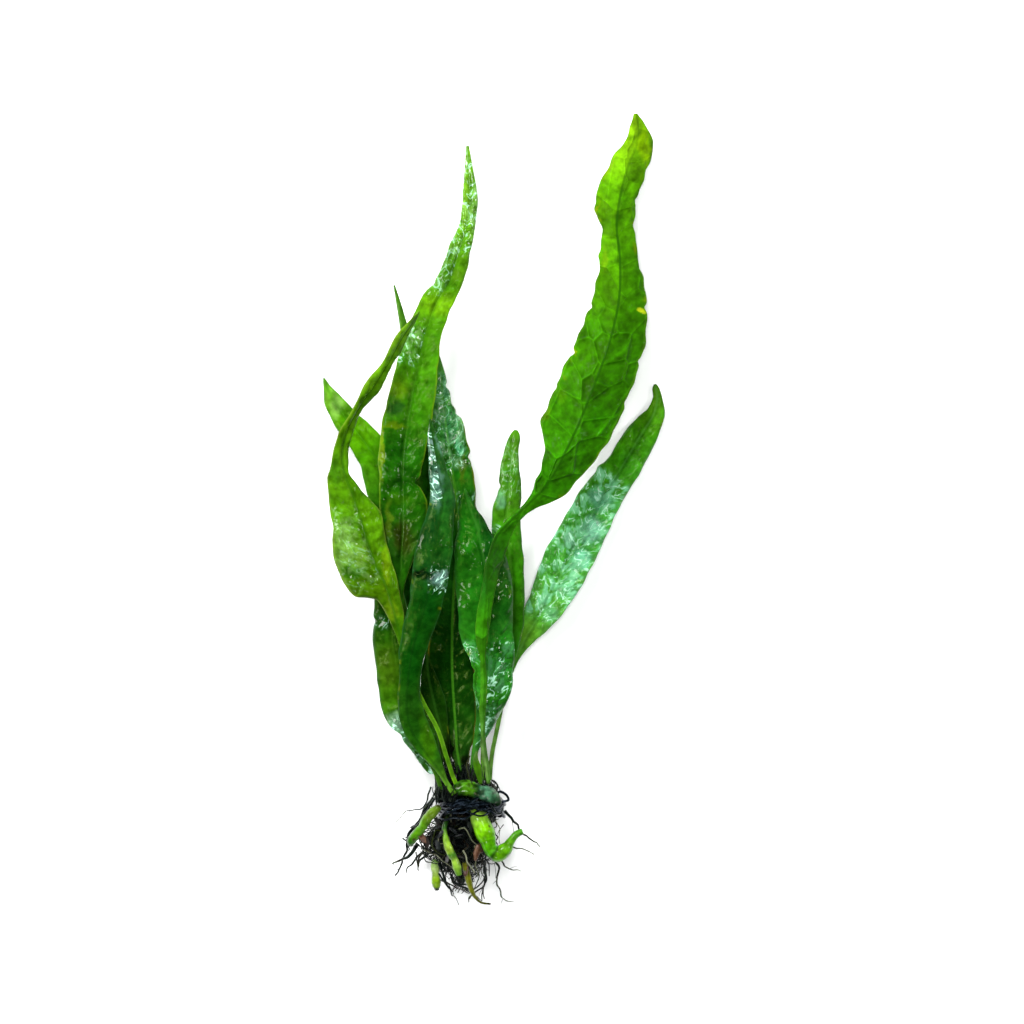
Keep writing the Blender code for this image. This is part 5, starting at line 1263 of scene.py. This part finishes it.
# Single roots around the tangle: radius, tone and route
strays = [
    (0.3, 0.3, [(-15.2, -100.4, 11), (-13.6, -102.6, 10), (-12.4, -104.9, 9)]),
    (0.2, 0.5, [(-14, -101.6, 10), (-12.6, -103.4, 9), (-11.4, -106.2, 7)]),
    (0.25, 0.35, [(-11.6, -102.6, 12), (-8.8, -104.1, 12), (-6.1, -104.6, 12), (-3.6, -103.5, 12),
                  (-2.5, -101.3, 12), (-2.5, -98.3, 12), (-3.2, -95.3, 12)]),
    (0.22, 0.6, [(-3, -103.8, 11), (-2.9, -105.6, 10), (-3, -107.7, 8)]),
    (0.2, 0.7, [(-5.2, -105.7, 10), (-6.6, -106.8, 9), (-7.2, -108.4, 8)]),
    (0.26, 0.95, [(-8.5, -93.9, 16), (-7.2, -96.7, 15.6), (-5.2, -100, 15)]),
    (0.2, 0.9, [(-9.6, -88, 16), (-8.2, -87.8, 16.8), (-6.3, -90.6, 16.8), (-4.6, -92.4, 16)]),
    (0.3, 0.3, [(-1.4, -80.6, 20), (0.6, -83.4, 20), (1.8, -83.6, 19.4), (2.6, -82, 18.6)]),
    (0.18, 0.5, [(-0.8, -83.9, 19.6), (0.3, -85.4, 19), (1.3, -85.2, 18)]),
    (0.14, 0.92, [(0.4, -85.6, 18), (1.5, -88, 17), (1.3, -90.4, 16), (2.2, -92.6, 15)]),
    (0.14, 0.6, [(2.6, -86.8, 16), (1.5, -88.3, 16.6), (0.8, -89.4, 17)]),
    (0.25, 0.3, [(-25.2, -90.7, 10), (-23.9, -91.8, 10.4), (-22.8, -93.9, 10)]),
    (0.22, 0.5, [(-21.5, -94.6, 8), (-21.2, -97, 7), (-20.6, -99.6, 5)]),
    (0.3, 0.66, [(-20.9, -98.6, 6), (-20.3, -95.6, 7.4), (-17.6, -94.2, 8.6), (-15.2, -95.2, 9.4),
                 (-13.9, -98, 10)]),
    (0.22, 0.4, [(-2.5, -96.2, 11), (-1, -98.9, 9.6), (-1.4, -100.9, 9)]),
    (0.2, 0.5, [(-5, -98.4, 13), (-4.3, -101.6, 12), (-5.2, -104.6, 10)]),
    (0.2, 0.25, [(-15.4, -75.6, 16), (-16.4, -78.8, 16), (-17.4, -81.8, 15)]),
    (0.34, 0.2, [(-15.2, -78, 18.6), (-17.6, -81.6, 17.6), (-20, -85.4, 16), (-22, -89, 13.6),
                 (-23.4, -92.6, 11)]),
    (0.2, 0.85, [(-5.4, -92.6, 16.6), (-4.6, -95, 16), (-5.2, -98, 15), (-4.4, -101, 13.4)]),
    (0.24, 0.3, [(-8.6, -96.6, 15.6), (-7.2, -99, 14.4), (-7.8, -101.8, 13)]),
    (0.16, 0.92, [(-19.3, -93.9, 11), (-16.5, -95, 12), (-13.7, -97.2, 13), (-11.5, -98.9, 13.6)]),
    (0.22, 0.62, [(-14.8, -102.2, 9), (-11.5, -103.8, 10), (-6.9, -105.5, 9), (-3.6, -107.9, 7)]),
    (0.24, 0.3, [(-3, -96.7, 14), (-2.2, -100.5, 12), (-3, -105.2, 10), (-3.3, -107.9, 8)]),
    (0.24, 0.2, [(-12, -100.5, 12), (-10.4, -102.8, 11.6), (-7.6, -103.2, 12), (-5.6, -101.6, 12.6)]),
    (0.2, 0.62, [(-4.4, -93.4, 16), (-3.2, -96, 15), (-3.4, -99.4, 13), (-2.4, -102, 11)]),
    (0.2, 0.7, [(-6.6, -67.8, 21.6), (-7.4, -70.5, 22), (-7.2, -73.3, 22), (-5.8, -75.6, 21)]),
    (0.26, 0.2, [(-0.6, -74.6, 18), (0.4, -75.1, 19), (0.9, -76.2, 19.2), (0.8, -77.8, 18.8)]),
    (0.3, 0.2, [(-13.2, -79.6, 20.6), (-15.6, -80.2, 19.8), (-16.2, -81.6, 18.6)]),
]


def tangleCore():
    # The dark middle of the tangle, well inside its solid
    rows = np.array(rootMat, dtype=float)
    knots = np.abs(rows[:, 0] - rows[0, 0])
    places = placesBetween(knots, [tangle["coreStep"]] * (len(knots) - 1))
    angles = np.linspace(0, 2 * math.pi, tangle["coreSides"], endpoint=False)
    rings = []
    for y, x, halfX, halfZ, z in between(knots, rows, places, steady=True):
        swell = tangle["coreShare"]
        for height, folds, twist in tangle["coreLumps"]:
            swell = swell + height * np.sin(folds * angles + twist * y)
        rings.append(np.stack([x + halfX * swell * np.cos(angles), np.full_like(angles, y),
                               np.maximum(z + halfZ * swell * np.sin(angles), tangle["coreLowest"])], axis=1))
    return ringMesh("tangle", np.array(rings), flip=True)


def tangleStrands():
    chance = np.random.default_rng(seed)
    sections = np.array(rootMat, dtype=float)[::-1]
    lowZ, highZ = tangle["levels"]
    tones = tangle["tones"]
    strands = []
    for number in range(tangle["count"]):
        y = np.linspace(chance.uniform(*tangle["startY"]), chance.uniform(*tangle["endY"]), tangle["points"])
        middle, halfX, halfZ, level = [np.interp(y, sections[:, 0], sections[:, i]) for i in (1, 2, 3, 4)]
        angle = chance.uniform(-tangle["under"], math.pi + tangle["under"])
        start = chance.uniform(*tangle["startX"])
        depth = chance.uniform(*tangle["depth"])
        blend = ease((y[0] - y) / tangle["blend"])
        x = start * (1 - blend) + blend * (middle + halfX * depth * math.cos(angle))
        foot = tangle["footZ"] + tangle["footSpread"] * chance.uniform(*tangle["footPart"])
        z = foot * (1 - blend) + blend * (level + halfZ * depth * math.sin(angle))
        path = np.stack([x, y, z], axis=1)
        places = np.linspace(0, abs(y[-1] - y[0]), len(y))
        path = wiggled(path, places, tangle["wander"] * chance.uniform(*tangle["wanderPart"]), chance)
        late = ease(places / tangle["spreadFrom"] - 1)
        path[:, 0] += tangle["spread"] * late * chance.uniform(-1, 1)
        radius = chance.uniform(*tangle["radius"]) * chance.uniform(*tangle["radiusPart"])
        path[:, 2] = np.clip(path[:, 2], lowZ, highZ)
        path[:, 1] = np.maximum(path[:, 1], tangle["lowestY"])
        tone = float(chance.choice(list(tones), p=list(tones.values())))
        strands.append((path, radius * (1 - tangle["thinning"] * places / places[-1]), tone))
    for radius, tone, route in strays:
        path, places = smoothPath(route, tangle["strayStep"])[:2]
        path = wiggled(path, places, tangle["strayWiggle"], chance)
        strands.append((path, radius * (1 - tangle["strayThinning"] * places / places[-1]), tone))
    return strands


def tangleTree():
    # Fine roots bowed over the core, each turned and bent by chance
    tree, add, given = newTree("root_tangle", {**tangle["bowed"], "Seed": seed, "Material": None})
    perArea = add("Math", "DIVIDE", [given["Density"], mm * mm])
    points = add("GeometryNodeDistributePointsOnFaces", None, {
        "Mesh": given["Geometry"], "Density": perArea, "Seed": given["Seed"]})
    half = add("Math", "MULTIPLY", [given["Length"], mm / 2])
    back = add("Math", "MULTIPLY", [half, -1.0])
    rise = add("Math", "MULTIPLY", [given["Bow"], 2 * mm])
    sunk = tangle["sunk"] * mm
    bow = add("GeometryNodeCurveQuadraticBezier", None, {
        "Resolution": 14, "Start": add("CombineXYZ", None, {0: back, 2: -sunk}),
        "Middle": add("CombineXYZ", None, {2: rise}), "End": add("CombineXYZ", None, {0: half, 2: -sunk})})
    angle = add("FunctionNodeRandomValue", {"data_type": "FLOAT"}, {3: 6.283, "Seed": given["Seed"]})
    spin = add("FunctionNodeAxisAngleToRotation", None, {"Axis": (0, 0, 1), "Angle": angle.outputs[1]})
    turned = add("FunctionNodeRotateRotation", {"rotation_space": "LOCAL"}, {
        "Rotation": points.outputs["Rotation"], "Rotate By": spin})
    least, most = tangle["scale"]
    scale = add("FunctionNodeRandomValue", {"data_type": "FLOAT"}, {2: least, 3: most, "Seed": given["Seed"]})
    strands = add("GeometryNodeInstanceOnPoints", None, {
        "Points": points, "Instance": bow, "Rotation": turned, "Scale": scale.outputs[1]})
    drift = add("TexNoise", None, {
        "Vector": add("GeometryNodeInputPosition"), "Scale": 1 / (tangle["warpSize"] * mm), "Detail": 2.0})
    level = add("VectorMath", "SUBTRACT", [drift.outputs["Color"], grey])
    amount = add("Math", "MULTIPLY", [given["Warp"], 2 * mm])
    bent = add("GeometryNodeSetPosition", None, {
        "Geometry": add("GeometryNodeRealizeInstances", None, [strands]),
        "Offset": add("VectorMath", "SCALE", {0: level, "Scale": amount})})
    tube = add("GeometryNodeCurveToMesh", None, {
        "Curve": bent, "Scale": add("Math", "MULTIPLY", [given["Radius"], mm]), "Fill Caps": True,
        "Profile Curve": add("GeometryNodeCurvePrimitiveCircle", None, {"Radius": 1.0, "Resolution": 5})})
    both = add("GeometryNodeJoinGeometry", None, [tube])
    connect(tree, both, [given["Geometry"]])
    return endTree(tree, both, given["Material"])


item = grow("root_tangle", tangleCore(), tangleTree(),
            {**tangle["bowed"], "Seed": seed, "Material": rootSkin})
keepOnFloor(item)
place(item, "root_mat")
item = grow("running_roots", polyline("running", tangleStrands()), strandTree,
            {**strandSizes, **tangle["tube"], "Material": rootSkin})
keepOnFloor(item)
place(item)
print("root tangle grown:", len(item.data.polygons), "faces")


# Old papery scales: place, direction that they point in, length, and tone from black to rust
scales = [
    ((-19.9, -90.2, 15), (0.6, -1, 0.2), 4.4, 0.9), ((-18.6, -91.6, 14.6), (0.2, -1, 0.1), 3.4, 0.6),
    ((-4.6, -94.4, 17.2), (0.25, 1, 0.1), 4.6, 0.9), ((-3.6, -93, 17), (-0.2, 1, 0.2), 3.2, 0.7),
    ((-15.6, -86.2, 16.6), (0.5, -1, 0.3), 3.2, 0.5), ((-11.2, -88.6, 17), (0.7, -0.6, 0.2), 3.0, 0.25),
    ((-9.6, -89.8, 17.2), (1, 0.2, 0.2), 2.8, 0.2), ((-14.6, -89.4, 17), (-0.6, -0.8, 0.2), 2.8, 0.25),
    ((-6.6, -87.4, 17.4), (0.4, -1, 0.1), 3.0, 0.35), ((-9.4, -95.6, 16.4), (1, -0.3, 0.1), 2.8, 0.5),
    ((-15.4, -92.6, 16), (0.3, -1, 0), 3.2, 0.35), ((-12.8, -96.2, 15.4), (-0.4, -1, 0), 2.6, 0.45),
    ((-7.6, -99.6, 15), (-0.3, -1, 0), 3.0, 0.8), ((-1.8, -95.2, 17), (1, -0.6, 0), 2.4, 0.4),
    ((-2.2, -84.6, 17.8), (1, -0.3, 0.3), 2.6, 0.15), ((-1.2, -81.8, 18.6), (1, -0.4, 0.1), 3.0, 0.2),
    ((-22.0, -87.4, 14), (-1, -0.3, 0), 2.6, 0.3), ((-23.4, -90.6, 12), (-1, 0.2, 0), 2.6, 0.2),
]
scaleSizes = {"Width": 0.42, "Thickness": 0.14, "Ragged": 0.5, "Cup": 0.5}
scaleLooks = {"segments": 20, "rings": 12, "raggedSize": 1.2}


def scalePoints():
    mesh = bpy.data.meshes.new("scale_points")
    mesh.from_pydata([[value * mm for value in row[0]] for row in scales], [], [])
    pointValues(mesh, {label: [row[column] for row in scales]
                       for label, column in (("heading", 1), ("size", 2), ("tone", 3))})
    return mesh


def scaleTree():
    # One thin, cupped, ragged scale on each point
    tree, add, given = newTree("old_scales", {**scaleSizes, "Material": None})
    heading = add("GeometryNodeInputNamedAttribute", {"data_type": "FLOAT_VECTOR"}, {"Name": "heading"})
    size = add("GeometryNodeInputNamedAttribute", {"data_type": "FLOAT"}, {"Name": "size"})
    ball = add("GeometryNodeMeshUVSphere", None, {
        "Segments": scaleLooks["segments"], "Rings": scaleLooks["rings"], "Radius": 0.5 * mm})
    where = add("GeometryNodeInputPosition")
    x = add("SeparateXYZ", None, [where])
    cup = add("Math", "MULTIPLY", [add("Math", "MULTIPLY", [x, x]), 4 / mm])
    cup = add("Math", "MULTIPLY", [cup, given["Cup"]])
    cupped = add("GeometryNodeSetPosition", None, {
        "Geometry": ball, "Offset": add("CombineXYZ", None, {1: cup})})
    shape = add("CombineXYZ", None, [given["Width"], given["Thickness"], 1.0])
    flat = add("GeometryNodeTransform", None, {"Geometry": cupped, "Scale": shape})
    turned = add("FunctionNodeAlignRotationToVector", {"axis": "Z"}, {"Vector": heading})
    scattered = add("GeometryNodeInstanceOnPoints", None, {
        "Points": given["Geometry"], "Instance": flat, "Rotation": turned, "Scale": size})
    noise = add("TexNoise", None, {
        "Vector": where, "Scale": 1 / (scaleLooks["raggedSize"] * mm), "Detail": 3.0})
    level = add("VectorMath", "SUBTRACT", [noise.outputs["Color"], grey])
    level = add("VectorMath", "SCALE", {0: level, "Scale": 2 * mm})
    ragged = add("GeometryNodeSetPosition", None, {
        "Geometry": add("GeometryNodeRealizeInstances", None, [scattered]),
        "Offset": add("VectorMath", "SCALE", {0: level, "Scale": given["Ragged"]})})
    return endTree(tree, ragged, given["Material"])


# Dead papery scale: dry and brown where it still holds, rotted black elsewhere, finely streaked
scaleSkin = skinMaterial("papery_brown_scale", "tone", {
    "noises": [(1.0, 5)], "shift": 0.5, "gain": 0.7, "rough": (0.3, 0.6), "bump": (0.5, 0.1), "shader": {},
    "stops": ((0.0, "#030405"), (0.4, "#0A1214"), (0.65, "#1C0E06"), (0.85, "#3E1E0E"), (1.0, "#6A4C34"))})[0]
item = grow("old_scales", scalePoints(), scaleTree(), {**scaleSizes, "Material": scaleSkin})
keepOnFloor(item)
place(item)
print("old scales grown:", len(scales))


# Bands of fibres: count, range across, range of heights, foot, and where they end
crown = {
    "radius": (0.12, 0.36), "thinning": 0.6, "points": 26, "lean": 1.2, "drift": 1, "wiggle": 0.35,
    # tones from black at 0 to pale at 1, and how often each comes
    "tones": {0.02: 0.6, 0.15: 0.25, 0.3: 0.1, 0.62: 0.05},
    "bands": [
        # the second and third bands fill the black hollows between the stalks, as painted shade
        (150, (-16.0, -1.5), (5, 18.8), -80.8, (-75.5, -69)),
        (90, (-13.4, -11.2), (11, 18), -79.5, (-72.5, -69)),
        (110, (-9.4, -6.2), (13, 18.6), -79, (-73, -70)),
        (60, (-15.8, -10.5), (18.4, 21.2), -80.4, (-78, -75.5)),
        (40, (-4.5, 0.4), (14, 19.5), -80.8, (-77, -75)),
    ],
    "tube": {"Sides": 6, "Lump Height": 0.12, "Seed": 4},
}


def crownStrands():
    # Black root hairs and old scales between the stalks' feet, set thick enough to stand in as painted shade
    # there too
    chance = np.random.default_rng(seed + 50)
    lean, drift, tones = crown["lean"], crown["drift"], crown["tones"]
    strands = []
    for count, wide, deep, foot, tops in crown["bands"]:
        for number in range(count):
            y = np.linspace(foot, chance.uniform(*tops), crown["points"])
            share = np.linspace(0, 1, len(y))
            x = chance.uniform(*wide) + chance.uniform(-lean, lean) * share
            z = chance.uniform(*deep) + chance.uniform(-drift, drift) * share
            path = wiggled(np.stack([x, y, z], axis=1), y - y[0], crown["wiggle"], chance)
            radii = chance.uniform(*crown["radius"]) * (1 - crown["thinning"] * share)
            strands.append((path, radii, float(chance.choice(list(tones), p=list(tones.values())))))
    return strands


item = grow("crown_fibres", polyline("crown", crownStrands()), strandTree,
            {**strandSizes, **crown["tube"], "Material": rootSkin})
place(item)
print("crown fibres grown")


tie = {
    "centre": (-6.3, -82.6, 12.4), "halfX": 8.9, "halfZ": 8.8, "width": 4.4, "turns": 10,
    "pointsATurn": 72, "fill": 0.84, "radius": 0.35, "thickening": 0.35, "loopStep": 0.3,
    # height and phase of the slant, then slow strays: turns of a wave for each turn of the thread
    "slant": (0.9, 0.6), "strays": (0.43, 0.77, 1.31), "strayAlong": 0.725, "strayOut": 0.14,
    # height, rate and phase of quick waves, along the plant and outwards
    "waves": ((0.6, 3.3, 0), (0.4, 7.7, 2)), "bulges": ((0.5, 5.3, 0), (0.4, 8.4, 1)),
    "loop": [(0.6, -80.8, 17), (1.5, -77.7, 18), (3.8, -79.2, 18.2), (4.0, -79.9, 18.2), (2.6, -80.5, 18),
             (0.4, -81.8, 17)],
    "tube": {"Sides": 10, "Lump Height": 0.06, "Lump Size": 0.9, "Seed": 2},
}


def tieStrands():
    x0, y0, z0 = tie["centre"]
    chance = np.random.default_rng(seed)
    turns = np.linspace(0, tie["turns"], tie["turns"] * tie["pointsATurn"])
    angle = 2 * math.pi * turns
    along = tie["width"] * (tie["fill"] / 2 - tie["fill"] * turns / tie["turns"])
    slant, phase = tie["slant"]
    along = along + slant * np.sin(angle + phase)
    out = np.zeros_like(turns)
    for rate in tie["strays"]:
        along = along + tie["strayAlong"] * np.sin(angle * rate + chance.uniform(0, 6.28))
        out = out + tie["strayOut"] * np.sin(angle * rate * 1.3 + chance.uniform(0, 6.28))
    along = along + sum(height * np.sin(rate * angle + phase) for height, rate, phase in tie["waves"])
    bulge = sum(height * np.sin(rate * angle + phase) for height, rate, phase in tie["bulges"])
    path = np.stack([x0 + (tie["halfX"] + out) * np.cos(angle), y0 + along,
                     z0 + (tie["halfZ"] + out + bulge) * np.sin(angle)], axis=1)
    loop = smoothPath(tie["loop"], tie["loopStep"])[0]
    radii = tie["radius"] * (1 + tie["thickening"] * np.sin(angle * 0.37) * np.sin(angle * 1.7))
    return [(path, radii, 0.5), (loop, np.full(len(loop), tie["radius"]), 0.5)]


# Thin dark elastic thread: rubber, blue-black, a touch lighter on its crests as a faint painted highlight.
# Its tone is 0.5 all along
tieSkin = skinMaterial("dark_elastic_thread", "tone", {
    "noises": [(1.4, 4)], "shift": 1.0, "gain": 1.0, "rough": (0.12, 0.34), "bump": (0.7, 0.12),
    "stops": ((0.42, "#010203"), (0.75, "#080E14")),
    "shader": {"Specular IOR Level": 0.32, "Specular Tint": linearColour("#A8C8E8")}})[0]
item = grow("wound_tie", polyline("tie", tieStrands()), strandTree,
            {**strandSizes, **tie["tube"], "Material": tieSkin})
place(item, "tie")
print("tie wound")


# Studio

studio = {
    "centre": (4.95, -0.96, 12.0), "frameWidth": 281.6, "lens": 400.0, "sensor": 36.0, "farthest": 20.0,
    "world": 0.12, "sky": (0.95, 0.98, 1.0, 1.0), "floor": "#F6F7F6", "floorSide": 6.0,
    # place in metres from the plant, width, depth, power, and whether gloss mirrors it
    "lamps": {
        "top": ((0.1, 0.15, 2.4), 0.6, 0.6, 34.0, False),
        "slant": ((-0.4, 1.15, 0.95), 0.6, 0.6, 30.0, False),
        "panel": ((-0.75, 0.35, 1.15), 0.36, 0.36, 10.0, True),
        "key": ((-0.35, 0.85, 1.05), 0.14, 0.3, 6.0, True),
        "side": ((0.95, 0.25, 0.75), 0.12, 0.24, 4.0, True),
        "low": ((-0.2, -1.0, 0.9), 0.2, 0.12, 4.0, True),
        "left": ((-1.0, 0.1, 0.8), 0.12, 0.24, 4.0, True),
        "spark": ((0.3, 0.45, 1.3), 0.08, 0.08, 1.6, True),
    },
}


def makeFloor():
    # Matt white board
    side = studio["floorSide"]
    mesh = bpy.data.meshes.new("floor")
    mesh.from_pydata([(-side, -side, 0), (side, -side, 0), (side, side, 0), (-side, side, 0)], [],
                     [(0, 1, 2, 3)])
    material, add, shade = newMaterial("matt_white_board")
    shade({"Base Color": linearColour(studio["floor"]), "Roughness": 0.8, "Specular IOR Level": 0.1})
    mesh.materials.append(material)
    newObject("floor", mesh)


def makeLamps():
    for name, (where, width, depth, power, mirrored) in studio["lamps"].items():
        light = bpy.data.lights.new(name, "AREA")
        light.shape = "RECTANGLE"
        light.size = width
        light.size_y = depth
        light.energy = power
        lamp = newObject(name, light)
        lamp.location = where
        lamp.visible_glossy = mirrored
        lamp.rotation_mode = "QUATERNION"
        lamp.rotation_quaternion = Vector(-np.array(where)).to_track_quat("-Z", "Y")
    world = bpy.data.worlds.new("studio")
    world.use_nodes = True
    connect(world.node_tree, world.node_tree.nodes["Background"],
            {"Color": studio["sky"], "Strength": studio["world"]})
    world.cycles_visibility.glossy = False
    bpy.context.scene.world = world


def makeCamera():
    data = bpy.data.cameras.new("camera")
    data.sensor_width = studio["sensor"]
    data.lens = studio["lens"]
    data.clip_end = studio["farthest"]
    camera = newObject("camera", data)
    x, y, z = studio["centre"]
    away = studio["frameWidth"] * studio["lens"] / data.sensor_width
    camera.location = (x * mm, y * mm, (z + away) * mm)
    bpy.context.scene.camera = camera


makeFloor()
makeLamps()
makeCamera()
bpy.context.scene.view_settings.view_transform = "Standard"
print("studio set")
